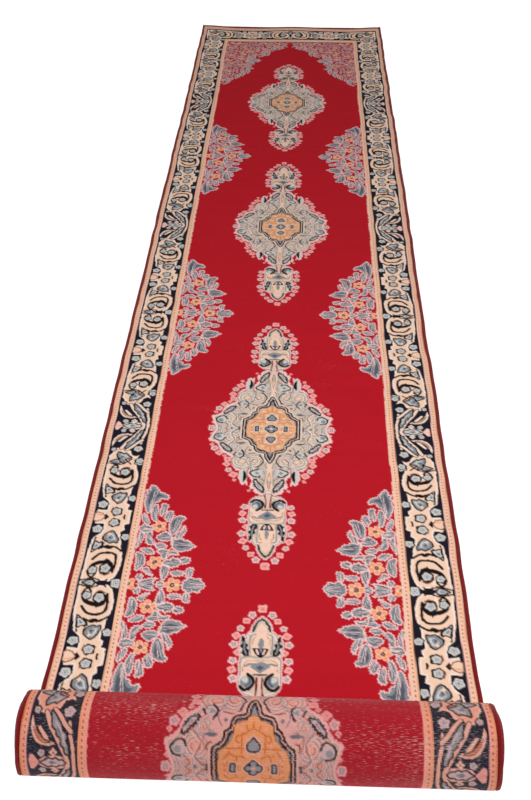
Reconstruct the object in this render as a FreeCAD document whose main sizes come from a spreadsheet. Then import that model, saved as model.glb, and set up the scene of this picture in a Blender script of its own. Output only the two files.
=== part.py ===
"""Runner rug: a hand-knotted pile rug lying flat, its near end rolled up on itself.

The rug is one long textile. Every piece of it is a strip that follows the same path: flat
on the floor from the far end, then round a two-centre spiral of half circles at the near
end. A piece is placed by three measures:

    across   millimetres from the rug's centre line, +X to the right
    along    millimetres from the far end, measured in the ground weave
    depth    millimetres up from the back of the rug towards the tips of the pile

+Z is up, +Y points to the far end, and the origin is on the floor at the centre of the
laid rug's outline.
"""
import FreeCAD, Part
import math
import os

os.makedirs("parts", exist_ok=True)
doc = FreeCAD.newDocument("runner_rug")

# ---------------------------------------------------------------- driving dimensions, in mm
SIZES = {
    "rug_width": 830,               # over both selvedges
    "medallion_count": 4,
    "repeat_length": 1000,          # from one medallion's centre to the next
    "end_margin": 872,              # from each end of the rug to the nearest medallion's centre
    "flat_length": 3755,            # what lies on the floor before the rug curls up
    "hollow_radius": 44.5,          # the open core of the roll
    "ground_thickness": 3.5,        # warps and wefts
    "pile_height": 6.5,             # knots above the ground weave
    "wrap_clearance": 0.4,          # air between one wrap of the roll and the next
    "selvedge_width": 10,
    "edge_thickness": 9,            # selvedges and end bindings
    "core_width": 3,                # bundle of warps inside each selvedge
    "binding_width": 12,            # overcast binding across each end
    "side_outer_guard": 16,
    "side_border": 88,
    "side_inner_guard": 18,
    "end_outer_guard": 38,
    "end_border": 112,
    "end_inner_guard": 34,
    "medallion_half_width": 150,
    "medallion_half_length": 235,
    "medallion_step_length": 90,    # how much of each tip is narrow
    "medallion_tip_half_width": 90,
    "pendant_half_width": 62,
    "pendant_end_gap": 43,          # plain field from a pendant's tip to the middle of the gap
    "spray_gap": 63,                # plain field between a side spray and the pendants' column
    "spray_half_length": 285,
    "spray_step_length": 130,
    "spray_step_depth": 70,
    "corner_row_length": 90,        # corner spray along the rug's end
    "corner_leg_length": 410,       # and on down its side
    "corner_leg_depth": 110,
}

sizes = doc.addObject("Spreadsheet::Sheet", "Sizes")
for row, (alias, number) in enumerate(SIZES.items(), start=1):
    sizes.set("A%d" % row, alias)
    sizes.set("B%d" % row, str(number))
    sizes.setAlias("B%d" % row, alias)
doc.recompute()


def cells(text):
    """Turn the names of driving dimensions in a formula into references to the sheet."""
    words = text.replace("(", " ( ").replace(")", " ) ").split()
    return " ".join("Sizes." + word if word in SIZES else word for word in words)


def number(formula):
    """The value of a formula of the sheet's cells."""
    result = sizes.evalExpression(formula)
    return float(getattr(result, "Value", result))


# ---------------------------------------------------------------- what follows from them
GROUND = cells("ground_thickness")
TOP = cells("( ground_thickness + pile_height )")
EDGE_TOP = cells("edge_thickness")
PITCH = cells("( ground_thickness + pile_height + wrap_clearance )")
RUG_LENGTH = cells("( ( medallion_count - 1 ) * repeat_length + 2 * end_margin )")
ROLL_RADIUS = "sqrt(%s^2 + %s * (%s - %s) / pi)" % (
    cells("hollow_radius"), PITCH, RUG_LENGTH, cells("flat_length"))
FAR_Y = "((%s + %s) / 2)" % (cells("flat_length"), ROLL_RADIUS)

# across the rug, from the centre line outwards
HALF_RUG = cells("( rug_width / 2 )")
HALF_WEAVE = cells("( rug_width / 2 - selvedge_width )")
HALF_BORDER = "(%s - %s)" % (HALF_WEAVE, cells("side_outer_guard"))
HALF_INNER_GUARD = "(%s - %s)" % (HALF_BORDER, cells("side_border"))
HALF_FIELD = "(%s - %s)" % (HALF_INNER_GUARD, cells("side_inner_guard"))

# along the rug, from an end inwards
END_GUARD = cells("binding_width")
END_BORDER = "(%s + %s)" % (END_GUARD, cells("end_outer_guard"))
END_INNER_GUARD = "(%s + %s)" % (END_BORDER, cells("end_border"))
END_FIELD = "(%s + %s)" % (END_INNER_GUARD, cells("end_inner_guard"))


def from_near(along):
    """The same distance, but from the near end."""
    return "(%s - %s)" % (RUG_LENGTH, along)


def minus(formula):
    """A formula with its sign changed."""
    return "(-1 * %s)" % formula


# ---------------------------------------------------------------- the path of the textile
class Path:
    """Flat run, then half circles whose centres alternate, so each turn is one pitch smaller."""

    def __init__(self):
        """Read the path's sizes from the sheet."""
        self.far_y = number(FAR_Y)
        self.flat = number(cells("flat_length"))
        self.radius = number(ROLL_RADIUS)
        self.pitch = number(PITCH)
        self.neutral = number(GROUND) / 2
        self.curl_y = self.far_y - self.flat

    def half_turn(self, index):
        """Centre height, back radius and side of one half circle; the near side is -1."""
        centre_z = self.radius + (index % 2) * self.pitch / 2
        back_radius = self.radius - index * self.pitch / 2
        side = -1 if index % 2 == 0 else 1
        return centre_z, back_radius, side

    def runs(self, start, end):
        """Split a stretch of the rug where the path changes from one arc to the next."""
        pieces = []
        if start < self.flat:
            pieces.append((None, start, min(end, self.flat)))
        arc_start = self.flat
        index = 0
        while arc_start < end:
            arc_end = arc_start + math.pi * (self.half_turn(index)[1] - self.neutral)
            low, high = max(start, arc_start), min(end, arc_end)
            if high > low:
                pieces.append((index, low - arc_start, high - arc_start))
            arc_start = arc_end
            index += 1
        return pieces

    def point(self, index, run, depth):
        """Place of a point at a depth, a given way along one run of the path."""
        if index is None:
            return FreeCAD.Vector(0, self.far_y - run, depth)
        centre_z, back_radius, side = self.half_turn(index)
        turn = run / (back_radius - self.neutral)
        reach = back_radius - depth
        return FreeCAD.Vector(0, self.curl_y + side * reach * math.sin(turn),
                              centre_z + side * reach * math.cos(turn))

    def edge(self, index, first, last, depth):
        """Straight or round edge along one run at one depth."""
        start = self.point(index, first, depth)
        end = self.point(index, last, depth)
        if index is None:
            return Part.LineSegment(start, end).toShape()
        middle = self.point(index, (first + last) / 2, depth)
        return Part.Arc(start, middle, end).toShape()

    def section(self, start, end, low, high):
        """Face that a strip fills, seen from the side of the rug."""
        runs = self.runs(start, end)
        edges = [self.edge(*run, low) for run in runs]
        index, _, last = runs[-1]
        edges.append(Part.LineSegment(self.point(index, last, low),
                                      self.point(index, last, high)).toShape())
        edges += [self.edge(index, last, first, high) for index, first, last in reversed(runs)]
        index, first, _ = runs[0]
        edges.append(Part.LineSegment(self.point(index, first, high),
                                      self.point(index, first, low)).toShape())
        return Part.Face(Part.Wire(edges))


path = Path()
nodes = {}


def strip(name, across, along, depth):
    """Solid strip between two places across, along and in depth, each a formula."""
    left, right = across
    start, end = along
    low, high = depth
    width = "%s - %s" % (right, left)
    if number(end) <= path.flat:
        solid = doc.addObject("Part::Box", name)
        solid.setExpression("Length", width)
        solid.setExpression("Width", "%s - %s" % (end, start))
        solid.setExpression("Height", "%s - %s" % (high, low))
        solid.setExpression("Placement.Base.y", "%s - %s" % (FAR_Y, end))
        solid.setExpression("Placement.Base.z", low)
    else:
        section = doc.addObject("Part::Feature", name + "_section")
        section.Shape = path.section(number(start), number(end), number(low), number(high))
        solid = doc.addObject("Part::Extrusion", name)
        solid.Base = section
        solid.DirMode = "Custom"
        solid.Dir = FreeCAD.Vector(1, 0, 0)
        solid.Solid = True
        solid.setExpression("LengthFwd", width)
    solid.setExpression("Placement.Base.x", left)
    return solid


def node(name, feature):
    """Give a feature its name as a piece of the rug."""
    feature.Label = name
    nodes[name] = feature
    return feature


def joined(name, strips):
    """One piece made of strips that meet edge to edge."""
    whole = doc.addObject("Part::MultiFuse", name)
    whole.Shapes = strips
    whole.Refine = True
    return node(name, whole)


def mirrored(side, inner, outer):
    """Span across the rug between two distances from its centre line, on one side."""
    if side == "right":
        return inner, outer
    return minus(outer), minus(inner)


# ---------------------------------------------------------------- ground weave and edges
WEAVE_ALONG = (END_GUARD, from_near(END_GUARD))
node("foundation_weave", strip("foundation", (minus(HALF_WEAVE), HALF_WEAVE), WEAVE_ALONG,
                               ("0", GROUND)))

for end_name, binding_along in (("far", ("0", END_GUARD)),
                                ("near", (from_near(END_GUARD), RUG_LENGTH))):
    node("end_binding_" + end_name,
         strip("binding_" + end_name, (minus(HALF_RUG), HALF_RUG), binding_along,
               ("0", EDGE_TOP)))

CORE_INNER = cells("( rug_width / 2 - ( selvedge_width + core_width ) / 2 )")
CORE_OUTER = cells("( rug_width / 2 - ( selvedge_width - core_width ) / 2 )")
CORE_DEPTH = (cells("( ( edge_thickness - core_width ) / 2 )"),
              cells("( ( edge_thickness + core_width ) / 2 )"))
for side in ("left", "right"):
    core = strip("core_" + side, mirrored(side, CORE_INNER, CORE_OUTER), WEAVE_ALONG, CORE_DEPTH)
    node("selvedge_core_" + side, core)
    body = strip("overcast_" + side, mirrored(side, HALF_WEAVE, HALF_RUG), WEAVE_ALONG,
                 ("0", EDGE_TOP))
    wrap = doc.addObject("Part::Cut", "wrap_" + side)
    wrap.Base = body
    wrap.Tool = core
    node("selvedge_wrap_" + side, wrap)

# ---------------------------------------------------------------- bands of pile
PILE = (GROUND, TOP)
SIDE_BANDS = (("outer_guard", END_GUARD, HALF_BORDER, HALF_WEAVE),
              ("main_border", END_BORDER, HALF_INNER_GUARD, HALF_BORDER),
              ("inner_guard", END_INNER_GUARD, HALF_FIELD, HALF_INNER_GUARD))
for band, start, inner, outer in SIDE_BANDS:
    for side in ("left", "right"):
        node("%s_%s" % (band, side),
             strip("%s_strip_%s" % (band, side), mirrored(side, inner, outer),
                   (start, from_near(start)), PILE))

END_BANDS = (("outer_guard", END_GUARD, END_BORDER, HALF_BORDER),
             ("main_border", END_BORDER, END_INNER_GUARD, HALF_INNER_GUARD),
             ("inner_guard", END_INNER_GUARD, END_FIELD, HALF_FIELD))
for band, start, end, half in END_BANDS:
    node(band + "_far", strip(band + "_strip_far", (minus(half), half), (start, end), PILE))
    node(band + "_near", strip(band + "_strip_near", (minus(half), half),
                               (from_near(end), from_near(start)), PILE))

# ---------------------------------------------------------------- motifs set into the field
MEDALLION_REACH = cells("medallion_half_length")
MEDALLION_SHOULDER = cells("( medallion_half_length - medallion_step_length )")
PENDANT_REACH = cells("( repeat_length / 2 - pendant_end_gap )")
HALF_BODY = cells("medallion_half_width")
HALF_TIP = cells("medallion_tip_half_width")
HALF_PENDANT = cells("pendant_half_width")

for place in range(int(number(cells("medallion_count")))):
    centre = "(%s + %d * %s)" % (cells("end_margin"), place, cells("repeat_length"))
    label = "medallion_%d" % (place + 1)
    spans = {
        "far_tip": (HALF_TIP, "- %s" % MEDALLION_REACH, "- %s" % MEDALLION_SHOULDER),
        "body": (HALF_BODY, "- %s" % MEDALLION_SHOULDER, "+ %s" % MEDALLION_SHOULDER),
        "near_tip": (HALF_TIP, "+ %s" % MEDALLION_SHOULDER, "+ %s" % MEDALLION_REACH),
    }
    joined(label, [strip("%s_%s" % (label, part), (minus(half), half),
                         ("(%s %s)" % (centre, first), "(%s %s)" % (centre, last)), PILE)
                   for part, (half, first, last) in spans.items()])
    for end_name, first, last in (("far", "- " + PENDANT_REACH, "- " + MEDALLION_REACH),
                                  ("near", "+ " + MEDALLION_REACH, "+ " + PENDANT_REACH)):
        node("pendant_%d_%s" % (place + 1, end_name),
             strip("hanging_%d_%s" % (place + 1, end_name), (minus(HALF_PENDANT), HALF_PENDANT),
                   ("(%s %s)" % (centre, first), "(%s %s)" % (centre, last)), PILE))

SPRAY_TIP = "(%s + %s)" % (HALF_PENDANT, cells("spray_gap"))
SPRAY_STEP = "(%s + %s)" % (SPRAY_TIP, cells("spray_step_depth"))
SPRAY_REACH = cells("spray_half_length")
SPRAY_SHOULDER = cells("( spray_half_length - spray_step_length )")
for place in range(int(number(cells("medallion_count"))) - 1):
    centre = "(%s + %s * %s)" % (cells("end_margin"), place + 0.5, cells("repeat_length"))
    for side in ("left", "right"):
        label = "side_spray_%d_%s" % (place + 1, side)
        spans = {
            "far_step": (SPRAY_STEP, "- %s" % SPRAY_REACH, "- %s" % SPRAY_SHOULDER),
            "body": (SPRAY_TIP, "- %s" % SPRAY_SHOULDER, "+ %s" % SPRAY_SHOULDER),
            "near_step": (SPRAY_STEP, "+ %s" % SPRAY_SHOULDER, "+ %s" % SPRAY_REACH),
        }
        joined(label, [strip("%s_%s" % (label, part), mirrored(side, inner, HALF_FIELD),
                             ("(%s %s)" % (centre, first), "(%s %s)" % (centre, last)), PILE)
                       for part, (inner, first, last) in spans.items()])

CORNER_ROW = "(%s + %s)" % (END_FIELD, cells("corner_row_length"))
CORNER_LEG = "(%s + %s)" % (CORNER_ROW, cells("corner_leg_length"))
LEG_INNER = "(%s - %s)" % (HALF_FIELD, cells("corner_leg_depth"))
for side in ("left", "right"):
    for end_name in ("far", "near"):
        label = "corner_spray_%s_%s" % (end_name, side)
        row = (END_FIELD, CORNER_ROW)
        leg = (CORNER_ROW, CORNER_LEG)
        if end_name == "near":
            row = (from_near(row[1]), from_near(row[0]))
            leg = (from_near(leg[1]), from_near(leg[0]))
        joined(label, [strip(label + "_row", mirrored(side, "0", HALF_FIELD), row, PILE),
                       strip(label + "_leg", mirrored(side, LEG_INNER, HALF_FIELD), leg, PILE)])

# ---------------------------------------------------------------- plain field round the motifs
doc.recompute()
field_strip = strip("field_strip", (minus(HALF_FIELD), HALF_FIELD),
                    (END_FIELD, from_near(END_FIELD)), PILE)
motifs = doc.addObject("Part::MultiFuse", "motifs")
motifs.Shapes = [feature for name, feature in nodes.items()
                 if name.startswith(("medallion", "pendant", "side_spray", "corner_spray"))]
field = doc.addObject("Part::Cut", "field")
field.Base = field_strip
field.Tool = motifs
field.Refine = True
node("field_pile", field)
doc.recompute()

# ---------------------------------------------------------------- check, then write
for feature in doc.Objects:
    if "Invalid" in feature.State or "Error" in feature.State:
        raise RuntimeError("%s failed: %s" % (feature.Label, feature.State))
for name, feature in nodes.items():
    shape = feature.Shape
    if shape.isNull() or not shape.isValid() or len(shape.Solids) != 1:
        raise RuntimeError("%s is not one valid solid" % name)
total = 0.0
for name, feature in nodes.items():
    feature.Shape.exportStep("parts/%s.step" % name)
    total += feature.Shape.Volume
print("%d pieces, %.1f litres, roll radius %.2f mm, rug length %.0f mm"
      % (len(nodes), total / 1e6, path.radius, number(RUG_LENGTH)))
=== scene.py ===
"""Runner rug: the looks of a hand-knotted runner that lies flat, one end rolled up on itself.

The pattern is drawn the way a weaver's chart is: shapes are laid on a grid of cells, each cell
holding the share of every dyed wool in it. The meshes of the rug then take their colours from
the chart, knot by knot, on the pile and on the back. Lengths in the chart are millimetres from
the middle of a repeat; everything else is in metres, in the frame of the CAD model.
"""
import logging
import math
from dataclasses import dataclass, field
from enum import Enum

import bpy
import numpy as np
from mathutils import Matrix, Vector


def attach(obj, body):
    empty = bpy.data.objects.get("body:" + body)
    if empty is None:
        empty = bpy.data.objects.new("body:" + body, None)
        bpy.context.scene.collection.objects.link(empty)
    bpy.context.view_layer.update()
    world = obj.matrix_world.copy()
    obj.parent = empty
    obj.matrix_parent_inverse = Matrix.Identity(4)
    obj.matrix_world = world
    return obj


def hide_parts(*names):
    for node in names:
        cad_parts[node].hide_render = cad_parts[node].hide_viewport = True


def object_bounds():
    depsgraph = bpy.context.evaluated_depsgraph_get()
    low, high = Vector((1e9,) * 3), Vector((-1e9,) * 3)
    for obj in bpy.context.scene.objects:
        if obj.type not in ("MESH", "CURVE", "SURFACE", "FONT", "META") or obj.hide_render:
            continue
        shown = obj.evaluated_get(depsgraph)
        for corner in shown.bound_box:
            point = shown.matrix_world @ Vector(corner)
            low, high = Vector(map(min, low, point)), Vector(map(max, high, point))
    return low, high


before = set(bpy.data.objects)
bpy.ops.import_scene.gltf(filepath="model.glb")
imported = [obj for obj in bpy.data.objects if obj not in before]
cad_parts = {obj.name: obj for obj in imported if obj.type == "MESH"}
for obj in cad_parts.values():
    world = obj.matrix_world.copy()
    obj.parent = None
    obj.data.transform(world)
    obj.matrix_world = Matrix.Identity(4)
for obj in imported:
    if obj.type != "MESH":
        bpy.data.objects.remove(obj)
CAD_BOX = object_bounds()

log = logging.getLogger("runner_rug")
Point = tuple[float, float]

TINY = 1e-9             # keeps a division by a length from failing
SPECK = 1e-12           # and one by a length's square or by a step
HAIR = 1e-4             # metres: a shorter length is taken for none
MM = 1000.0             # millimetres, the charts' unit, in a metre, the frame's
HALF_REPEAT = 500.0     # millimetres from a medallion's centre row to the mirror between two
EDGE_OVERLAP = 5.0      # millimetres that stripes run past the ends of the chart's half repeat


# ------------------------------------------------------------------ wools and their colours
@dataclass(frozen=True)
class Dye:
    """A dyed wool as it shows on the pile and on the back of the rug, in display colours."""

    pile: tuple[float, float, float]
    back: tuple[float, float, float]


class Wool(Enum):
    """The wools in the weaver's basket."""

    RED = Dye((0.735, 0.096, 0.147), (0.660, 0.110, 0.160))
    NAVY = Dye((0.125, 0.110, 0.165), (0.160, 0.150, 0.200))
    IVORY = Dye((1.000, 0.900, 0.840), (0.890, 0.660, 0.600))
    PEACH = Dye((0.980, 0.825, 0.720), (0.890, 0.590, 0.500))
    GUARD = Dye((0.985, 0.790, 0.670), (0.920, 0.590, 0.480))
    PALE = Dye((0.985, 0.840, 0.830), (0.880, 0.620, 0.610))
    MIST = Dye((0.830, 0.820, 0.805), (0.780, 0.640, 0.640))
    BLUSH = Dye((0.975, 0.770, 0.755), (0.880, 0.590, 0.590))
    GREY = Dye((0.550, 0.565, 0.590), (0.560, 0.530, 0.540))
    SLATE = Dye((0.360, 0.365, 0.410), (0.400, 0.390, 0.430))
    SALMON = Dye((0.985, 0.600, 0.580), (0.890, 0.520, 0.500))
    ORANGE = Dye((0.975, 0.630, 0.460), (0.880, 0.540, 0.350))
    GROUND = Dye((0.860, 0.770, 0.700), (0.850, 0.600, 0.570))
    AMBER = Dye((0.930, 0.710, 0.545), (0.880, 0.560, 0.370))
    LINE = Dye((0.700, 0.520, 0.430), (0.740, 0.360, 0.200))
    BLACK = Dye((0.120, 0.085, 0.095), (0.170, 0.120, 0.140))
    BROWN = Dye((0.500, 0.290, 0.220), (0.460, 0.230, 0.190))
    MADDER = Dye((0.530, 0.080, 0.095), (0.520, 0.100, 0.105))


WOOLS = list(Wool)


def linear(colour: np.ndarray) -> np.ndarray:
    """Display colour to scene colour: c/12.92 below 0.04045, else ((c+0.055)/1.055)^2.4."""
    return np.where(colour <= 0.04045, colour / 12.92, ((colour + 0.055) / 1.055) ** 2.4)


# ------------------------------------------------------------------ shapes for the chart
def spline(points: list[Point], closed: bool = False, steps: int = 6) -> np.ndarray:
    """Smooth line through points, as a Catmull-Rom spline.

    Args:
        points: the points that the line passes.
        closed: whether the line comes back to its first point.
        steps: samples on each stretch.

    Returns:
        The samples, one row each.
    """
    given = np.array(points, float)
    if closed:
        ring = np.vstack([given[-1:], given, given[:2]])
    else:
        ring = np.vstack([2 * given[0] - given[1], given, 2 * given[-1] - given[-2]])
    before, start, end, after = ring[:-3], ring[1:-2], ring[2:-1], ring[3:]
    t = np.linspace(0, 1, steps, endpoint=False)[None, :, None]
    before, start, end, after = (a[:, None, :] for a in (before, start, end, after))
    line = 0.5 * (2 * start + (end - before) * t + (2 * before - 5 * start + 4 * end - after) * t**2
                  + (3 * start - before - 3 * end + after) * t**3)
    line = line.reshape(-1, 2)
    return line if closed else np.vstack([line, given[-1:]])


LEAF_BELLY = 0.8        # power of t: less than one moves the widest place towards the base
LEAF_FULLNESS = 0.75    # power of the sine: less than one makes a rounder leaf
TOOTH_FOOT = 0.74       # share of the width left at the foot of a tooth
TOOTH_DEPTH = 0.36      # share of the width that a tooth adds
PETAL_SAMPLES = 10
ARC_SAMPLES = 14


def leaf(base: Point, tip: Point, width: float, bend: float = 0.0, teeth: int = 0) -> np.ndarray:
    """Outline of a leaf: half width w/2 * sin(pi t^belly)^fullness about a bent midrib.

    The midrib leaves the straight way by 4 * bend * t * (1 - t); each tooth widens the leaf from
    its foot and drops back.

    Args:
        base: where the leaf leaves its stem.
        tip: its point.
        width: its greatest width.
        bend: how far the midrib bows to the left of the way from base to tip.
        teeth: notches down each side.

    Returns:
        The closed outline.
    """
    start, end = np.array(base, float), np.array(tip, float)
    t = np.linspace(0, 1, 9 + 6 * max(teeth, 2))[:, None]
    way = end - start
    side = np.array([-way[1], way[0]]) / (np.hypot(*way) + TINY)
    midrib = start + way * t + side * bend * 4 * t * (1 - t)
    half = width / 2 * np.sin(np.pi * t**LEAF_BELLY) ** LEAF_FULLNESS
    if teeth:
        half = half * (TOOTH_FOOT + TOOTH_DEPTH * (1 - (t * teeth) % 1))
    return np.vstack([midrib + side * half, (midrib - side * half)[::-1]])


def bloom(centre: Point, radius: float, petals: int = 5, depth: float = 0.18,
          turn: float = 0.0) -> np.ndarray:
    """Outline of a round blossom: r = radius * (1 - depth + depth cos(petals (a - turn)))."""
    angle = np.linspace(0, 2 * np.pi, PETAL_SAMPLES * max(petals, 3), endpoint=False)
    reach = radius * (1 - depth + depth * np.cos(petals * (angle - turn)))
    return np.array(centre) + np.stack([reach * np.cos(angle), reach * np.sin(angle)], -1)


def arc(centre: Point, radius: float, start: float, end: float) -> np.ndarray:
    """Part of a circle, from one angle to another in degrees."""
    angle = np.radians(np.linspace(start, end, ARC_SAMPLES))
    return np.array(centre) + radius * np.stack([np.cos(angle), np.sin(angle)], -1)


def edge_distance(x: np.ndarray, y: np.ndarray, line: np.ndarray, closed: bool) -> np.ndarray:
    """Distance from points to a line of straight pieces, negative inside a closed one.

    A point's distance to a piece is its distance to its nearest place on it; a point is inside
    when a ray from it crosses the closed line an odd number of times.
    """
    first = line if closed else line[:-1]
    last = np.roll(line, -1, axis=0) if closed else line[1:]
    ax, ay = first[:, 0], first[:, 1]
    dx, dy = last[:, 0] - ax, last[:, 1] - ay
    px, py = x[..., None] - ax, y[..., None] - ay
    share = np.clip((px * dx + py * dy) / (dx**2 + dy**2 + SPECK), 0, 1)
    gap = np.sqrt(((px - share * dx) ** 2 + (py - share * dy) ** 2).min(-1))
    if not closed:
        return gap
    rises = (ay > y[..., None]) != (ay + dy > y[..., None])
    crosses = px < dx * py / np.where(dy == 0, SPECK, dy)
    return np.where((rises & crosses).sum(-1) % 2 == 1, -gap, gap)


@dataclass
class Chart:
    """A weaver's chart: for each cell of a grid, the share of each wool in it."""

    across: float
    along: float
    start: float = 0.0
    cell: float = 1.0
    ground: Wool = Wool.RED
    share: np.ndarray = field(init=False)

    def __post_init__(self) -> None:
        """Fill the grid with the ground's wool."""
        self.columns = round(self.across / self.cell)
        self.rows = round((self.along - self.start) / self.cell)
        self.share = np.zeros((len(WOOLS), self.rows, self.columns), np.float32)
        self.share[WOOLS.index(self.ground)] = 1

    def _paint(self, wool: Wool, line: np.ndarray, closed: bool, grow: float) -> None:
        """Lay a wool where the distance to a line is less than grow, fading over one cell."""
        reach = grow + 2 * self.cell
        low = np.floor((line.min(0) - reach - (0, self.start)) / self.cell).astype(int)
        high = np.ceil((line.max(0) + reach - (0, self.start)) / self.cell).astype(int)
        c0, r0 = max(low[0], 0), max(low[1], 0)
        c1, r1 = min(high[0], self.columns), min(high[1], self.rows)
        if c1 <= c0 or r1 <= r0:
            return
        x, y = np.meshgrid((np.arange(c0, c1) + 0.5) * self.cell,
                           self.start + (np.arange(r0, r1) + 0.5) * self.cell)
        gap = edge_distance(x, y, line, closed) - grow
        cover = np.clip(0.5 - gap / self.cell, 0, 1).astype(np.float32)
        patch = self.share[:, r0:r1, c0:c1]
        patch *= 1 - cover
        patch[WOOLS.index(wool)] += cover

    def fill(self, wool: Wool, outline: np.ndarray | list[Point], grow: float = 0.0) -> None:
        """Fill a closed outline, made larger or smaller by grow."""
        self._paint(wool, np.asarray(outline, float), True, grow)

    def line(self, wool: Wool, points: np.ndarray | list[Point], width: float) -> None:
        """Draw along a line, smooth where it is given as a list of points."""
        path = points if isinstance(points, np.ndarray) else spline(points)
        self._paint(wool, path, False, width / 2)

    def box(self, wool: Wool, low: Point, high: Point) -> None:
        """Fill a rectangle between two corners."""
        self.fill(wool, [low, (high[0], low[1]), high, (low[0], high[1])])

    def colours(self, x: np.ndarray, y: np.ndarray, back: bool) -> np.ndarray:
        """Scene colours at places on the chart, by bilinear interpolation of the cells.

        Args:
            x: places across, in millimetres.
            y: places along, in millimetres.
            back: whether the back of the rug is wanted.

        Returns:
            One colour for each place.
        """
        palette = np.array([w.value.back if back else w.value.pile for w in WOOLS])
        picture = np.tensordot(self.share, linear(palette), axes=(0, 0))
        u = np.clip(x / self.cell - 0.5, 0, self.columns - 1.001)
        v = np.clip((y - self.start) / self.cell - 0.5, 0, self.rows - 1.001)
        i, j = v.astype(int), u.astype(int)
        fv, fu = (v - i)[..., None], (u - j)[..., None]
        return ((picture[i, j] * (1 - fu) + picture[i, j + 1] * fu) * (1 - fv)
                + (picture[i + 1, j] * (1 - fu) + picture[i + 1, j + 1] * fu) * fv)


# ------------------------------------------------------------------ the drawing, motif by motif
class Floret(Enum):
    """The two small flowers that ring the medallions and the pendants."""

    TULIP = "salmon tulip"
    EYE = "pale blossom with a grey eye"


def draw_floret(chart: Chart, centre: Point, radius: float, kind: Floret) -> None:
    """Draw one floret of a ring, turned by its place so that no two are alike."""
    turn = 0.13 * centre[0] + 0.29 * centre[1]
    layers = {Floret.TULIP: ((Wool.BLUSH, 1.08, 4, 0.12), (Wool.SALMON, 0.86, 4, 0.16)),
              Floret.EYE: ((Wool.BLUSH, 1.05, 5, 0.10), (Wool.GREY, 0.60, 4, 0.20))}
    for wool, share, petals, depth in layers[kind]:
        chart.fill(wool, bloom(centre, radius * share, petals, depth, turn))
    if kind is Floret.TULIP:
        chart.line(Wool.BROWN, [(centre[0] - radius * 0.15, centre[1] + 1),
                                (centre[0] + radius * 0.25, centre[1] - 1)], 1.2)
    else:
        chart.fill(Wool.BLUSH, bloom(centre, radius * 0.24, 4))


def serrated(outline: list[Point], pitch: float, depth: float) -> np.ndarray:
    """Outline with a tooth every pitch: steps of half a pitch, each second one pushed outwards.

    A step's outward way is its stretch's direction turned by a right angle, on the side that the
    sign of the outline's area gives.
    """
    ring = np.asarray(outline + outline[:1], float)
    runs = np.concatenate([[0], np.cumsum(np.hypot(*np.diff(ring, axis=0).T))])
    count = 2 * max(round(runs[-1] / pitch), 3)
    spots = np.linspace(0, runs[-1], count, endpoint=False)
    line = np.stack([np.interp(spots, runs, ring[:, k]) for k in (0, 1)], -1)
    way = np.roll(line, -1, 0) - np.roll(line, 1, 0)
    out = np.stack([way[:, 1], -way[:, 0]], -1) / (np.hypot(*way.T)[:, None] + TINY)
    x, y = line.T
    sign = np.sign(np.dot(x, np.roll(y, -1)) - np.dot(y, np.roll(x, -1)))
    return line + out * sign * depth * (np.arange(count) % 2)[:, None]


BLADE_TOOTH = (6.6, 2.9)        # pitch and depth of a blade's teeth, in millimetres
BLADE_SHADOW = 0.84             # size of the shadow in the blade
SHADOW_SHIFT = (0.8, -1.8)      # and how far it lies off the blade's middle
SHADED_FROM = 2.4               # mean half width from which a blade has a shadow and veins
# Each vein's place beside the midrib, as a share of the blade's width, and its wool.
VEINS = ((0.34, Wool.MIST), (-0.2, Wool.PALE), (0.75, Wool.SLATE))


def draw_blade(chart: Chart, outline: list[Point], edge: Wool = Wool.PALE, rim: float = 2.2,
               blade: Wool = Wool.GREY) -> None:
    """Draw a leaf inside its outline: a rim, a blade, and in a broad one a shadow and veins.

    Args:
        chart: where it goes.
        outline: the leaf's edge, before its teeth.
        edge: wool of the rim.
        rim: width of the rim.
        blade: wool of the blade.
    """
    shape = serrated(outline, *BLADE_TOOTH)
    x, y = shape[:, 0], shape[:, 1]
    area = 0.5 * abs(float(np.dot(x, np.roll(y, 1)) - np.dot(y, np.roll(x, 1))))
    run = float(np.hypot(*(shape - np.roll(shape, 1, axis=0)).T).sum())
    mean_half = area / run
    chart.fill(edge, shape, 0.2)
    chart.fill(Wool.SLATE, shape, -rim)
    chart.fill(blade, shape, -rim - 1.0)
    if mean_half > SHADED_FROM:
        middle = shape.mean(0)
        core = middle + (shape - middle) * BLADE_SHADOW + np.array(SHADOW_SHIFT)
        chart.fill(Wool.SLATE, core, -min(mean_half, 5.0) + 0.4)
        far = shape[np.hypot(*(shape - middle).T).argmax()] - middle
        turned = np.array([-far[1], far[0]]) / (np.hypot(*far) + TINY)
        for aside, wool in VEINS:
            offset = turned * aside * min(2 * mean_half, 11)
            chart.line(wool, np.stack([middle + 0.66 * far + offset * 0.4,
                                       middle - 0.45 * far + offset]), 1.5)


def draw_leaf(chart: Chart, shape: np.ndarray, edge: Wool, rim: float) -> None:
    """Draw a leaf with a rim, a grey blade and a slate shadow down one side of its midrib."""
    chart.fill(edge, shape, rim)
    chart.fill(Wool.GREY, shape)
    half = len(shape) // 2
    left, right = shape[:half], shape[half:][::-1]
    span = slice(int(half * 0.15), int(half * 0.8))
    width = float(np.hypot(*(left - right).T).max())
    if width > 6:
        chart.line(Wool.SLATE, (0.34 * left + 0.66 * right)[span], width * 0.2)
        chart.line(Wool.MIST, (0.7 * left + 0.3 * right)[span], width * 0.08)


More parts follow.
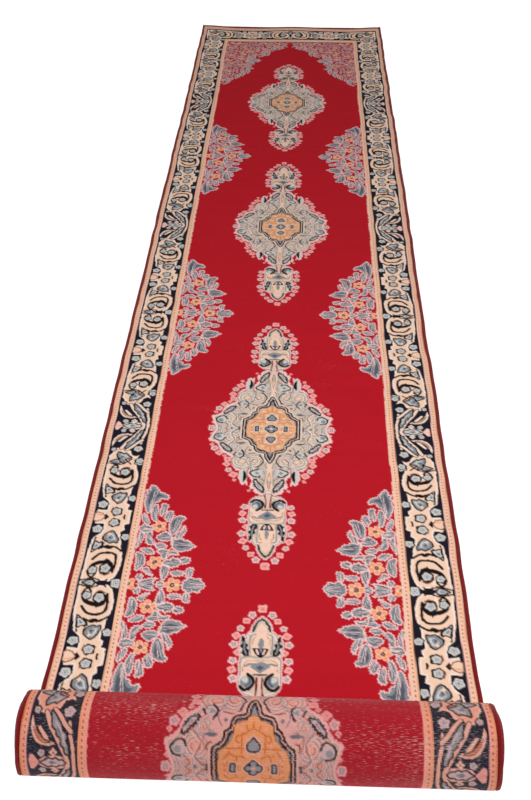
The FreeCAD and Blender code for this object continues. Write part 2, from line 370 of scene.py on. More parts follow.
def draw_flower(chart: Chart, centre: Point, radius: float, turn: float) -> None:
    """Draw an orange flower of five petals round a dark eye."""
    petals = 5
    middles = [arc(centre, 0.63 * radius, angle, angle)[0]
               for angle in np.degrees(turn) + 360 / petals * np.arange(petals)]
    for wool, share in ((Wool.PEACH, 0.40), (Wool.ORANGE, 0.30)):
        for middle in middles:
            chart.fill(wool, bloom(tuple(middle), radius * share, 3, 0.04))
    chart.fill(Wool.BROWN, bloom(centre, radius * 0.30, petals, 0.2, turn))
    chart.fill(Wool.BLACK, bloom(centre, radius * 0.22, 4))
    chart.fill(Wool.IVORY, bloom(centre, radius * 0.08, 4))


@dataclass
class Medallion:
    """The lobed medallion, drawn from its centre outwards in one quarter.

    Its frill and its lozenge's steps are pitch and depth of the teeth, in millimetres.
    """

    body: tuple[Point, ...] = (
        (-9, 246), (8, 242), (16, 236), (31, 226), (33, 212), (41, 215), (41, 203), (37, 191),
        (43, 176), (50, 168), (50, 150), (76, 153), (81, 147), (86, 140), (89, 126), (89, 112),
        (92, 102), (102, 95), (114, 86), (121, 75), (125, 60), (133, 52), (149, 45), (144, 32),
        (140, 16), (136, 4), (136, -9), (-9, -9))
    ear: tuple[Point, ...] = (
        (60, 203), (66, 198), (67, 190), (71, 182), (71, 168), (69, 156), (62, 147), (52, 150),
        (54, 168), (53, 184), (50, 204), (55, 196))
    lozenge: tuple[Point, ...] = (
        (0, 123), (7, 107), (10, 93), (13, 87), (29, 84), (35, 77), (36, 65), (46, 58), (49, 46),
        (59, 38), (67, 34), (67, 22), (67, -9), (-9, -9), (-9, 107))
    frill: Point = (9.0, 2.4)
    steps: Point = (7.0, 1.0)
    heart: tuple[Point, ...] = (
        (0, 89), (8, 86), (12, 79), (22, 78), (32, 71), (33, 61), (36, 51), (42, 43), (48, 36),
        (57, 31), (59, 20), (61, 10), (61, -9), (-9, -9), (-9, 88))

    def draw(self, chart: Chart) -> None:
        """Draw the whole medallion, back to front."""
        self._ring(chart)
        chart.fill(Wool.BLUSH, serrated(list(self.body[:-3]), *self.frill), 1.0)
        chart.fill(Wool.BLUSH, self.body, 1.2)
        chart.fill(Wool.BLUSH, self.ear, 1.2)
        chart.fill(Wool.MIST, self.ear, -2.4)
        for wool, grow in ((Wool.IVORY, -2.0), (Wool.GREY, -4.4), (Wool.GROUND, -6.0),
                           (Wool.GREY, -10.0), (Wool.IVORY, -11.6), (Wool.GROUND, -14.0),
                           (Wool.LINE, -17.5), (Wool.GROUND, -18.8), (Wool.GREY, -22.5),
                           (Wool.GROUND, -24.0)):
            chart.fill(wool, self.body, grow)
        self._scrolls(chart)
        self._leaves(chart)
        self._lozenge(chart)

    def _ring(self, chart: Chart) -> None:
        """Florets on the rim."""
        tulip, eye = Floret.TULIP, Floret.EYE
        for x, y, radius, kind in ((147, 2, 9.5, eye), (144, 22, 5, tulip), (134, 76, 9.5, eye),
                                   (141, 62, 5, tulip), (121, 92, 9, tulip), (108, 103, 5, tulip),
                                   (100, 115, 9, tulip), (102, 133, 9, tulip), (96, 153, 8.5, eye),
                                   (84, 169, 10, tulip), (81, 188, 5, tulip), (45, 222, 4, tulip)):
            draw_floret(chart, (x, y), radius, kind)

    def _scrolls(self, chart: Chart) -> None:
        """Coiled stems in soft greys and peach on the pale ground."""
        for centre, size in (((65, 121), 27), ((35, 119), 21), ((96, 36), 21), ((106, 64), 12),
                             ((16, 152), 12), ((110, 10), 15), ((82, 68), 12), ((86, 8), 9)):
            chart.fill(Wool.GROUND, bloom(centre, size, 3, 0.04))
            for ring, wool in ((0.95, Wool.GREY), (0.80, Wool.IVORY), (0.66, Wool.GREY),
                               (0.50, Wool.IVORY), (0.36, Wool.LINE)):
                chart.line(wool, arc(centre, size * ring, 20 + 200 * ring, 330 + 200 * ring), 1.8)
            chart.fill(Wool.PEACH, bloom(centre, size * 0.2, 4))
        chart.line(Wool.BLACK, [(29, 142), (21, 133), (15.5, 120), (20, 106), (24, 98)], 3.6)
        chart.line(Wool.BROWN, [(24, 97), (34, 91), (51, 94)], 2.8)
        chart.line(Wool.BROWN, [(51, 176), (51, 154), (43, 141)], 2.2)
        chart.line(Wool.PEACH, [(2, 232), (6, 206), (3, 172), (2, 134)], 6)
        for wool, path in ((Wool.GREY, [(5, 236), (12, 204), (9, 172), (13, 150)]),
                           (Wool.MIST, [(20, 186), (14, 170), (20, 158)]),
                           (Wool.LINE, [(0, 224), (4, 190), (0, 160)]),
                           (Wool.GREY, [(48, 146), (60, 152), (76, 146)]),
                           (Wool.LINE, [(86, 134), (90, 118), (80, 104)]),
                           (Wool.GREY, [(6, 146), (10, 134), (8, 126)]),
                           (Wool.MIST, [(100, 88), (94, 70), (100, 54)]),
                           (Wool.GREY, [(128, 12), (131, 4), (128, -6)]),
                           (Wool.LINE, [(72, 60), (84, 50), (80, 30)]),
                           (Wool.GREY, [(84, 78), (76, 64), (66, 60)]),
                           (Wool.SLATE, [(34, 112), (44, 120), (44, 134)]),
                           (Wool.SLATE, [(100, 60), (88, 44), (96, 20), (84, 4)]),
                           (Wool.IVORY, [(104, 58), (92, 42), (100, 20), (90, 2)]),
                           (Wool.SLATE, [(12, 188), (20, 180), (22, 172)]),
                           (Wool.SLATE, [(116, 22), (108, 8), (116, -4)]),
                           (Wool.SLATE, [(46, 112), (56, 100), (60, 84), (54, 70)])):
            chart.line(wool, path, 1.8)
        chart.fill(Wool.SLATE, leaf((60, 56), (84, 55), 6))
        chart.fill(Wool.SLATE, bloom((48, 80), 4, 4))
        chart.fill(Wool.SLATE, bloom((98, 2), 3.2, 4))

    def _leaves(self, chart: Chart) -> None:
        """Dark-rimmed leaves on the body."""
        dark = Wool.BLACK
        pointed = [(10, 228), (17, 224), (24, 217), (31, 208), (35.5, 195), (35, 183), (29, 182),
                   (24, 193), (16, 203), (10, 216)]
        draw_blade(chart, pointed, dark, 3.1, Wool.MIST)
        round_leaf = [(22, 172), (26, 176), (34, 174), (45, 165), (45, 158), (34, 152), (25, 147),
                      (16, 160)]
        chart.fill(Wool.MIST, spline(round_leaf, True, 3))
        chart.fill(Wool.GREY, bloom((28, 162), 6, 4))
        chart.line(dark, [(21, 171), (26, 176), (34, 174), (44, 165), (44, 158), (34, 152),
                          (25, 148)], 3.8)
        chart.fill(Wool.MIST, leaf((62, 150), (60, 200), 15, 3))
        chart.fill(dark, leaf((60, 154), (61, 196), 9, 4))
        long_leaf = [(91, 87), (102, 86), (114, 76), (122, 58), (118, 53), (109, 61), (99, 71),
                     (92, 81)]
        draw_blade(chart, long_leaf, dark, 3.0, Wool.MIST)
        chart.line(dark, [(87, 100), (82, 89)], 4)
        chart.fill(Wool.MIST, bloom((70, 95), 11, 3, 0.2, 1.2))
        chart.fill(Wool.GREY, bloom((71, 95), 6, 3, 0.2, 1.2))
        chart.line(dark, [(70, 109), (62.5, 100), (63, 90), (68, 80)], 4)
        chart.line(Wool.SLATE, [(72, 108), (80, 104), (84, 92)], 2)
        chart.fill(Wool.MIST, bloom((125, 33), 13, 5, 0.1))
        chart.fill(Wool.GREY, bloom((127, 31), 7, 5, 0.1))
        chart.line(dark, [(112, 36), (116, 45), (124, 47), (134, 41), (138, 33), (133, 23),
                          (121, 20)], 3.8)
        chart.line(Wool.BROWN, arc((71, 36), 7.5, -100, 160), 2.6)
        chart.line(Wool.BLACK, [(73, 31), (73, -9)], 2.4)
        chart.fill(Wool.PALE, bloom((70, 36), 4, 3, 0.1))
        draw_blade(chart, [(74, -9), (80, -5), (80, 5), (74, 9)], dark, 2)

    def _lozenge(self, chart: Chart) -> None:
        """The stepped lozenge in the middle, with its double rim and fine line work."""
        stepped = serrated(list(self.lozenge), *self.steps)
        for wool, grow in ((Wool.GROUND, 8.8), (Wool.IVORY, 6.6), (Wool.BLACK, 4.4),
                           (Wool.IVORY, 0.0), (Wool.BLACK, -1.8), (Wool.GREY, -6.2)):
            chart.fill(wool, stepped, grow)
        chart.fill(Wool.BROWN, self.heart, 0.9)
        chart.fill(Wool.AMBER, self.heart)
        for path in ([(20, 28), (20, 58)], [(16, 36), (46, 35)], [(24, 55), (12, 60), (0, 67)],
                     [(0, 67), (0, 86)], [(9, 62), (12, 72)], [(30, 22), (40, 26), (46, 20)],
                     [(14, 20), (26, 24), (30, 14)], [(48, 4), (49, 18), (40, 30)],
                     [(42, -4), (44, 12)], [(24, 44), (30, 48), (26, 56)], [(26, 4), (26, -4)]):
            chart.line(Wool.ORANGE, path, 4.0)
            chart.line(Wool.LINE, path, 1.9)
        for centre in ((22, 10), (10, 24), (30, 40), (12, 50), (48, 12), (38, 8), (20, 66)):
            chart.fill(Wool.PEACH, bloom(centre, 4, 4))
        spike = spline([(-10, 36), (-6, 32), (6, 32), (10, 36), (9, 42), (5, 47), (0, 52),
                        (-5, 47), (-9, 42)], True)
        square = [(32, -8), (38, -8), (38, 8), (32, 8)]
        rosette = bloom((0, 0), 14.5, 4, 0.12)
        for shape in (spike, square, rosette):
            chart.fill(Wool.IVORY, shape, 4.6)
            chart.fill(Wool.BLACK, shape, 2.6)
            chart.fill(Wool.GREY, shape, -0.4)
        for turn in (45, 135, 225, 315):
            chart.fill(Wool.BLACK, bloom(tuple(arc((0, 0), 9.5, turn, turn)[0]), 3, 3))
        chart.fill(Wool.PEACH, bloom((0, 0), 4.4, 4))


@dataclass
class Pendant:
    """The palmette that hangs from each end of a medallion, in one half.

    Its outlines are points across and along from its foot, in millimetres: across is made wider
    by breadth, and along is stretched past the waist by tip_length.
    """

    foot: float = 230.0
    waist: float = 150.0
    breadth: float = 1.04
    tip_length: float = 1.06
    teeth: Point = (7.0, 1.6)

    def at(self, *points: Point) -> list[Point]:
        """Points measured from the pendant's foot, as points of the chart."""
        return [(self.breadth * x,
                 self.foot + min(y, self.waist) + self.tip_length * max(y - self.waist, 0))
                for x, y in points]

    def draw(self, chart: Chart) -> None:
        """Draw the pendant, back to front."""
        tulip, eye = Floret.TULIP, Floret.EYE
        for x, y, radius, kind in ((0, 217, 10, tulip), (20, 202, 9, eye), (31, 187, 8, tulip),
                                   (43, 168, 8, eye), (50, 149, 9, tulip), (54, 127, 9.5, eye),
                                   (46, 107, 7.5, tulip), (54, 87, 9.5, eye), (55, 66, 8.5, tulip),
                                   (52, 46, 9, eye)):
            draw_floret(chart, (x, y + self.foot), radius, kind)
        outline = self.at((-9, -12), (6, -8), (8, 8), (15, 10), (28, 14), (38, 26), (40, 42),
                          (38, 60), (40, 84), (37, 96), (40, 106), (40, 130), (35, 152), (30, 142),
                          (26, 156), (19, 158), (18, 172), (11, 187), (0, 195), (-9, 195))
        chart.fill(Wool.BLUSH, serrated(outline, *self.teeth), 1.8)
        chart.fill(Wool.GREY, outline, -0.4)
        chart.fill(Wool.IVORY, outline, -2.0)
        chart.fill(Wool.GROUND, outline, -4.6)
        self._palmette(chart)
        self._collar(chart)

    def _palmette(self, chart: Chart) -> None:
        """Arch, panel, spear and the two dark leaves."""
        chart.fill(Wool.PEACH, self.at((-9, 180), (0, 180), (8, 170), (11, 156), (17, 152),
                                       (18, 120), (16, 100), (-9, 100)))
        chart.fill(Wool.BLUSH, bloom((0, 160 + self.foot), 7, 4))
        chart.line(Wool.BLACK, self.at((16, 160), (13, 173), (7, 184), (0, 190)), 4.2)
        chart.line(Wool.GREY, self.at((10, 153), (19, 150), (21, 134), (19, 104)), 2.4)
        chart.line(Wool.BROWN, self.at((10, 146), (15, 140), (15, 126)), 1.4)
        chart.fill(Wool.GREY, leaf(*self.at((0, 116), (0, 144)), 10))
        cup = self.at((-3, 97), (3, 97), (9, 104), (14, 116), (-14, 116), (-9, 104))
        chart.fill(Wool.BLACK, cup, 1.2)
        chart.line(Wool.PALE, self.at((7, 113), (4, 104)), 4)
        chart.line(Wool.GREY, self.at((0, 116), (0, 109)), 3)
        dark = self.at((22, 99), (30, 99), (36, 106), (33, 116), (39, 122), (35, 131), (37, 148),
                       (31, 142), (30, 130), (24, 126), (28, 118), (22, 112))
        chart.fill(Wool.BLACK, dark, 0.8)
        chart.line(Wool.GREY, self.at((27, 104), (31, 116), (32, 132)), 3.6)

    def _collar(self, chart: Chart) -> None:
        """Cloud collar with its grey wave, the two volutes and the stem."""
        chart.fill(Wool.PEACH, self.at((-9, 84), (0, 84), (7, 91), (20, 94), (32, 92), (36, 82),
                                       (36, 62), (34, 50), (14, 54), (-9, 55)))
        chart.line(Wool.GREY, self.at((7, 95), (20, 98), (33, 95), (38, 82), (37, 60)), 2)
        chart.line(Wool.LINE, self.at((4, 87), (14, 88), (26, 86), (32, 76), (32, 62)), 1.8)
        chart.line(Wool.GREY, self.at((29, 76), (19, 80), (10, 76), (0, 69)), 5)
        chart.fill(Wool.GREY, self.at((-6, 60), (0, 57), (8, 64), (20, 74), (12, 82), (0, 86),
                                      (-6, 84)))
        chart.fill(Wool.SLATE, self.at((-4, 66), (0, 64), (8, 72), (0, 78), (-4, 76)))
        chart.line(Wool.BLUSH, self.at((30, 66), (20, 66), (12, 60)), 3)
        chart.line(Wool.BLACK, self.at((-12, 55), (12, 55)), 3.2)
        chart.fill(Wool.GREY, bloom((25, 40 + self.foot), 13, 3, 0.05))
        chart.line(Wool.BLACK, self.at((23, 56), (14, 48), (11, 38), (16, 28), (27, 23), (36, 30)),
                   6.5)
        chart.line(Wool.SLATE, self.at((19, 47), (18, 38), (25, 31)), 3.4)
        chart.fill(Wool.MIST, bloom((28, 44 + self.foot), 6.5, 3, 0.1))
        chart.line(Wool.MADDER, self.at((5.5, 48), (5.5, 24), (8, 6)), 3.2)
        chart.line(Wool.BLUSH, self.at((0, 48), (0, 2)), 3)
        chart.line(Wool.BROWN, self.at((2, 2), (12, 8), (26, 8)), 1.8)


@dataclass
class SideSpray:
    """The half spray of leaves and flowers that grows out of the field's edge.

    Its outlines are pairs of depth into the field and reach from the spray's own axis.
    """

    root: float = 283.0
    axis: float = 500.0

    def at(self, depth: float, reach: float) -> Point:
        """Point at a depth into the field and a reach from the spray's axis."""
        return (self.root - depth, self.axis - reach)

    def draw(self, chart: Chart) -> None:
        """Draw leaves first, then the flowers over their stems."""
        leaves = (
            ((15, 291), (25, 281), (36, 265), (44, 263), (54, 256), (58, 247), (54, 241), (45, 246),
             (37, 243), (38, 236), (29, 232), (22, 226), (20, 214), (19, 198), (13, 197), (8, 210),
             (5, 222), (3, 235), (5, 248), (1, 254), (8, 263), (1, 273), (12, 273), (11, 282)),
            ((31, 226), (35, 221), (37, 208), (36, 190), (37, 172), (31, 172), (26, 180), (22, 196),
             (23, 212), (27, 222)),
            ((43, 227), (54, 228), (59, 220), (56, 212), (57, 203), (50, 195), (46, 187), (43, 192),
             (42, 205), (45, 217)),
            ((63, 205), (71, 206), (72, 198), (75, 191), (70, 186), (63, 172), (59, 178), (53, 186),
             (57, 194), (60, 201)),
            ((4, 194), (8, 196), (15, 186), (21, 170), (20, 160), (15, 161), (8, 170), (4, 182)),
            ((68, 168), (73, 183), (82, 188), (92, 191), (100, 188), (101, 180), (95, 178),
             (92, 168), (92, 158), (88, 147), (80, 134), (73, 136), (69, 151)),
            ((100, 162), (106, 151), (104, 140), (96, 123), (86, 120), (85, 127), (88, 140),
             (98, 148)),
            ((44, 128), (52, 136), (63, 144), (72, 133), (79, 121), (73, 117), (58, 116), (46, 121)),
            ((80, 128), (86, 119), (95, 124), (103, 122), (107, 117), (112, 119), (119, 113),
             (123, 107), (134, 101), (123, 98), (119, 90), (112, 91), (105, 87), (92, 88), (84, 95),
             (78, 110)),
            ((43, 105), (52, 110), (61, 109), (70, 99), (63, 94), (54, 93), (47, 98)),
            ((48, 87), (56, 91), (67, 90), (73, 86), (88, 88), (96, 81), (97, 75), (88, 79),
             (79, 77), (69, 66), (62, 64), (60, 75), (54, 81)),
            ((11, 91), (20, 94), (35, 94), (44, 83), (42, 77), (28, 77), (20, 85)),
            ((3, 79), (10, 83), (20, 77), (25, 64), (26, 51), (20, 39), (10, 34), (7, 49), (8, 64)),
            ((28, 41), (35, 43), (42, 30), (49, 21), (41, 23), (31, 30), (22, 36)),
            ((65, 56), (73, 64), (80, 62), (85, 71), (90, 65), (96, 67), (100, 61), (103, 53),
             (98, 50), (96, 45), (90, 47), (86, 41), (79, 47), (69, 49)),
            ((101, 66), (109, 71), (123, 67), (121, 57), (111, 53), (103, 56)),
            ((63, 47), (70, 48), (79, 43), (80, 30), (75, 16), (70, 11), (66, 22), (63, 35)),
            ((84, 29), (92, 35), (111, 34), (114, 29), (109, 23), (92, 22)),
            ((121, 43), (133, 43), (130, 35), (130, 22), (120, 18), (118, 26), (116, 35)),
            ((113, -3), (114, 11), (120, 12), (126, 18), (130, 19), (134, 15), (138, 14),
             (149, 18), (150, 11), (153, 9), (160, 1), (160, -3)),
            ((21, -3), (22, 7), (33, 12), (44, 15), (60, 16), (50, 9), (54, 1), (54, -3)),
            ((57, -3), (62, 8), (73, 9), (79, 1), (79, -3)),
            ((14, 22), (24, 26), (28, 18), (26, 11), (17, 10)),
            ((1, 153), (8, 160), (20, 156), (30, 158), (33, 148), (28, 140), (14, 138), (5, 142)),
            ((5, 140), (14, 138), (15, 125), (11, 110), (3, 93), (-2, 100), (5, 121)),
            ((22, 140), (32, 140), (31, 121), (42, 113), (41, 105), (31, 104), (22, 111), (20, 125)))
        for outline in leaves:
            draw_blade(chart, [self.at(*point) for point in outline])
        for stem in (((80, 121), (82, 100), (74, 88), (68, 60)), ((47, 158), (30, 150), (12, 150)),
                     ((92, 0), (110, 0)), ((0, 0), (24, 0)), ((48, 56), (60, 44))):
            chart.line(Wool.PEACH, [self.at(*point) for point in stem], 2)
        for (depth, reach), turn in (((0, 0), 0.2), ((92, 1), 0.0), ((48, 56), 1.5),
                                     ((46, 158), 1.3)):
            draw_flower(chart, self.at(depth, reach), 17.5, turn)


@dataclass
class BorderVine:
    """The main border: a peach vine with C-scrolls, blossoms and leaves on navy."""

    inner: float = 300.5
    outer: float = 390.0
    turning: float = 316.0
    crown: tuple[Point, ...] = (
        (45, 88), (56, 82), (66, 83), (83, 86), (84, 92), (78, 96), (80, 104), (86, 112),
        (84, 122), (86, 140), (80, 150), (20, 150), (12, 142), (18, 133), (18, 124), (12, 108),
        (20, 113), (30, 108), (36, 93))
    trunk: tuple[Point, ...] = (
        (5, -8), (5, 20), (15, 23), (12, 38), (20, 44), (19, 62), (15, 73), (14, 93), (12, 100),
        (8, 110), (6, 124), (6, 140), (9, 153), (13, 166), (18, 174), (26, 180), (32, 177),
        (44, 177), (50, 180), (60, 193), (84, 193), (86, 172), (85, 153), (86, 123), (84, 98),
        (80, 78), (78, 63), (72, 57), (64, 50), (60, 34), (62, 20), (82, 22), (84, 14), (66, 8),
        (60, -8))

    def at(self, *points: Point) -> list[Point]:
        """Points measured across the border and along from a medallion's centre row."""
        return [(self.inner + x, y) for x, y in points]

    def draw(self, chart: Chart) -> None:
        """Draw the scrolls and their mirror images, then the fan at the medallion's row."""
        chart.box(Wool.NAVY, (self.inner, -EDGE_OVERLAP), (self.outer, HALF_REPEAT + EDGE_OVERLAP))
        masses = [np.array(self.at(*self.crown))]
        for way in (1, -1):
            masses.append(np.array(self.at(*((x, self.turning + way * y) for x, y in self.trunk))))
        for wool, grow in ((Wool.BLACK, 3.0), (Wool.IVORY, 0.0), (Wool.PEACH, -4.0)):
            for mass in masses:
                chart.fill(wool, mass, grow)
        for way in (1, -1):
            self._scroll(chart, way)
        self._fan(chart)

    def _blossom(self, chart: Chart, centre: Point, radius: float) -> None:
        """Round pale blossom with a grey heart and a dark outline."""
        (x, y), = self.at(centre)
        turn = 0.7 * centre[0] + 0.3 * centre[1]
        chart.fill(Wool.BLACK, bloom((x, y), radius + 3.0, 5, 0.08, turn))
        chart.fill(Wool.MIST, bloom((x, y), radius, 5, 0.09, turn))
        chart.fill(Wool.GREY, bloom((x, y), radius * 0.62, 5, 0.2, turn))
        chart.fill(Wool.MIST, bloom((x, y), radius * 0.42, 5, 0.14, turn))
        chart.fill(Wool.SLATE, bloom((x, y), radius * 0.2, 4))

    def _blade(self, chart: Chart, outline: list[Point], blade: Wool = Wool.GREY) -> None:
        """Grey leaf of the border with its dark outline."""
        shape = np.array(self.at(*outline))
        chart.fill(Wool.BLACK, shape, 3.4)
        chart.fill(blade, shape)
        middle = shape.mean(0)
        for wool, share, shift in ((Wool.MIST, 0.62, (-1.5, -1.0)), (Wool.GREY, 0.42, (0.5, 0.0)),
                                   (Wool.SLATE, 0.22, (2.0, 1.5))):
            chart.fill(wool, share * shape + (1 - share) * middle + np.array(shift))

    def _vine(self, chart: Chart, outline: list[Point]) -> None:
        """A stretch of the vine: pale along its edge and peach inside."""
        shape = np.array(self.at(*outline))
        chart.fill(Wool.BLACK, shape, 2.6)
        chart.fill(Wool.IVORY, shape)
        chart.fill(Wool.PEACH, shape, -3.0)

    def _fan(self, chart: Chart) -> None:
        """Long leaves that fan out from the medallion's centre row."""
        petal = [(38, 33), (50, 30), (64, 31), (75, 37), (83, 50), (86, 66), (84, 78), (79, 62),
                 (72, 50), (64, 43), (52, 40)]
        self._vine(chart, petal)
        chart.line(Wool.BROWN, self.at((46, 34), (62, 36), (74, 46), (81, 60)), 2)
        chart.line(Wool.LINE, self.at((56, 38), (68, 44), (77, 56)), 3.0)
        self._vine(chart, [(50, 38), (60, 42), (67, 52), (73, 60), (68, 62), (60, 52), (54, 46)])
        for path, width in ((((6, -7), (7, 23), (10, 38), (13, 51), (14, 66)), 5.5),
                            (((16, -7), (18, 8), (25, 23), (33, 38), (43, 53), (50, 63), (57, 78),
                              (60, 84)), 7),
                            (((12, 53), (24, 65), (34, 78), (46, 89)), 6.5)):
            chart.line(Wool.BLACK, self.at(*path), width + 4)
            chart.line(Wool.IVORY, self.at(*path), width)
            chart.line(Wool.PEACH, self.at(*path), width * 0.35)
        self._blade(chart, [(15, 16), (20, 18), (22, 28), (28, 32), (28, 42), (36, 48), (38, 56),
                            (46, 62), (47, 72), (50, 86), (42, 78), (38, 72), (32, 66), (28, 54),
                            (20, 48), (21, 38), (16, 30)])
        chart.fill(Wool.IVORY, np.array(self.at((18, 0), (26, 12), (44, 14), (62, 10), (74, 0),
                                                (62, -10), (44, -14), (26, -12))))
        self._blade(chart, [(22, 0), (27, 5), (33, 4), (38, 8), (46, 6), (52, 8), (58, 4), (65, 0),
                            (58, -4), (52, -8), (46, -6), (38, -8), (33, -4), (27, -5)], Wool.MIST)
        tulip = np.array(self.at((68, 0), (74, 8), (80, 16), (86, 14), (87, 0), (86, -14),
                                 (80, -16), (74, -8)))
        chart.fill(Wool.BLACK, tulip, 2.2)
        chart.fill(Wool.BLUSH, tulip)
        chart.fill(Wool.PEACH, tulip, -3)
        chart.line(Wool.SALMON, self.at((72, 0), (84, 0)), 3)
        chart.fill(Wool.IVORY, bloom(self.at((42, 19))[0], 7.5, 4))
        chart.fill(Wool.BROWN, bloom(self.at((42, 19))[0], 2.4, 4))
        self._blossom(chart, (64, 18), 7)
        self._blossom(chart, (18, 85), 10.5)
        self._blossom(chart, (78, 88), 6)
        chart.line(Wool.BLACK, self.at((30, 96), (36, 88)), 4)
        chart.line(Wool.BLACK, self.at((10, 100), (20, 103), (28, 106)), 5)
        self._blade(chart, [(31, 118), (40, 110), (46, 102), (50, 105), (56, 102), (64, 98),
                            (65, 108), (63, 117), (56, 120), (58, 128), (46, 138), (50, 126),
                            (42, 122)])
        chart.fill(Wool.BLACK, bloom(self.at((61, 121))[0], 3.6, 4))
        chart.line(Wool.BROWN, self.at((37, 122), (36, 130)), 2.4)
        self._blossom(chart, (9, 128), 9)

    def _scroll(self, chart: Chart, way: int) -> None:
        """One C-scroll with its blossoms, on one side of the row where the vine turns back."""

        def put(*points: Point) -> list[Point]:
            """Points of the border, given along from the turning row."""
            return [(x, self.turning + way * y) for x, y in points]

        def path(*points: Point) -> list[Point]:
            """The same, as points of the chart."""
            return self.at(*put(*points))

        chart.line(Wool.BLACK, path((12, 101), (22, 93), (30, 89), (36, 90), (45, 86), (56, 92)), 5)
        chart.line(Wool.BLACK, path((34, 89), (38, 92), (46, 89)), 8)
        chart.line(Wool.BLACK, path((22, 156), (19, 138), (19, 123), (22, 113), (30, 107),
                                    (45, 106), (57, 109), (66, 118), (71, 125)), 6)
        chart.line(Wool.BLACK, path((24, 150), (28, 136), (36, 129), (46, 131), (58, 134),
                                    (68, 141), (73, 154)), 10)
        chart.fill(Wool.BLACK, path((34, 132), (40, 120), (46, 130)))
        chart.fill(Wool.BLACK, bloom(path((38, 147))[0], 16, 4, 0.06))
        chart.line(Wool.BROWN, path((28, 160), (38, 164), (48, 158), (50, 146)), 3)
        chart.line(Wool.BLACK, path((56, 160), (64, 170), (72, 164), (74, 152)), 5)
        chart.line(Wool.IVORY, path((54, 144), (55, 154), (50, 166)), 5)
        chart.fill(Wool.BLACK, bloom(path((38, 17))[0], 15, 5, 0.1))
        for x, y, radius in ((38, 147, 11), (65, 152, 9), (39, 17, 10.5), (74, 38, 11.5),
                             (8, 60, 9.5), (9, 184, 12)):
            self._blossom(chart, (x, self.turning + way * y), radius)
        chart.line(Wool.BROWN, path((49, 28), (50, 18), (46, 8)), 2.6)
        chart.fill(Wool.BLACK, path((54, 0), (61, -9), (66, -2), (66, 2), (61, 9)), 0.5)
        tulip = np.array(path((64, 0), (70, 9), (80, 13), (86, 10), (86, -10), (80, -13), (70, -9)))
        chart.fill(Wool.BROWN, tulip, 2.6)
        chart.fill(Wool.PEACH, tulip)
        chart.line(Wool.ORANGE, path((70, 5), (82, 7)), 3)
        chart.line(Wool.BLACK, path((18, -6), (20, 0), (18, 6)), 4)
        self._blade(chart, put((25, 76), (33, 74), (40, 77), (50, 70), (56, 65), (54, 55), (48, 49),
                               (40, 43), (33, 48), (28, 58), (24, 68)))
        chart.fill(Wool.PEACH, bloom(path((44, 52))[0], 5, 4))
        chart.line(Wool.BLACK, path((54, 70), (57, 60)), 3.4)
        self._blade(chart, put((76, 103), (68, 95), (59, 86), (54, 78), (64, 78), (71, 74), (73, 88)),
                    Wool.MIST)
        for arm in ((-9, 9), (9, 9)):
            chart.line(Wool.BLACK, path((38 - arm[0], 184 - arm[1]), (38 + arm[0], 184 + arm[1])), 4)
        chart.line(Wool.BLACK, path((48, 176), (58, 172), (70, 174), (84, 178)), 3.4)
        self._blade(chart, put((53, 184), (59, 177), (68, 178), (79, 184), (68, 190), (59, 191)))
        chart.line(Wool.BLACK, path((70, 98), (77, 92), (76, 74), (72, 62)), 4)
        chart.line(Wool.BLACK, path((62, 96), (54, 84), (57, 74)), 4)
        chart.line(Wool.IVORY, path((81, 104), (80, 90), (77, 66)), 4)


@dataclass
class GuardStripe:
    """A narrow peach stripe, with a line in each of its rims' wools and a row of small dots."""

    low: float
    high: float
    rims: tuple[Wool, Wool]
    dots: int = 50

    def draw(self, chart: Chart) -> None:
        """Draw the stripe over half a repeat."""
        start, end = -EDGE_OVERLAP, HALF_REPEAT + EDGE_OVERLAP
        chart.box(Wool.GUARD, (self.low, start), (self.high, end))
        for edge, wool, width in ((self.low + 1.0, self.rims[0], 2), (self.low + 3.6, Wool.BLUSH, 2),
                                  (self.high - 3.6, Wool.ORANGE, 1.6),
                                  (self.high - 1.0, self.rims[1], 2)):
            chart.line(wool, np.array([(edge, start), (edge, end)]), width)
        middle = (self.low + self.high) / 2
        for dot in range(self.dots + 1):
            y = HALF_REPEAT * dot / self.dots
            chart.line(Wool.BROWN, np.array([(middle, y - 0.7), (middle, y + 0.7)]), 2.6)


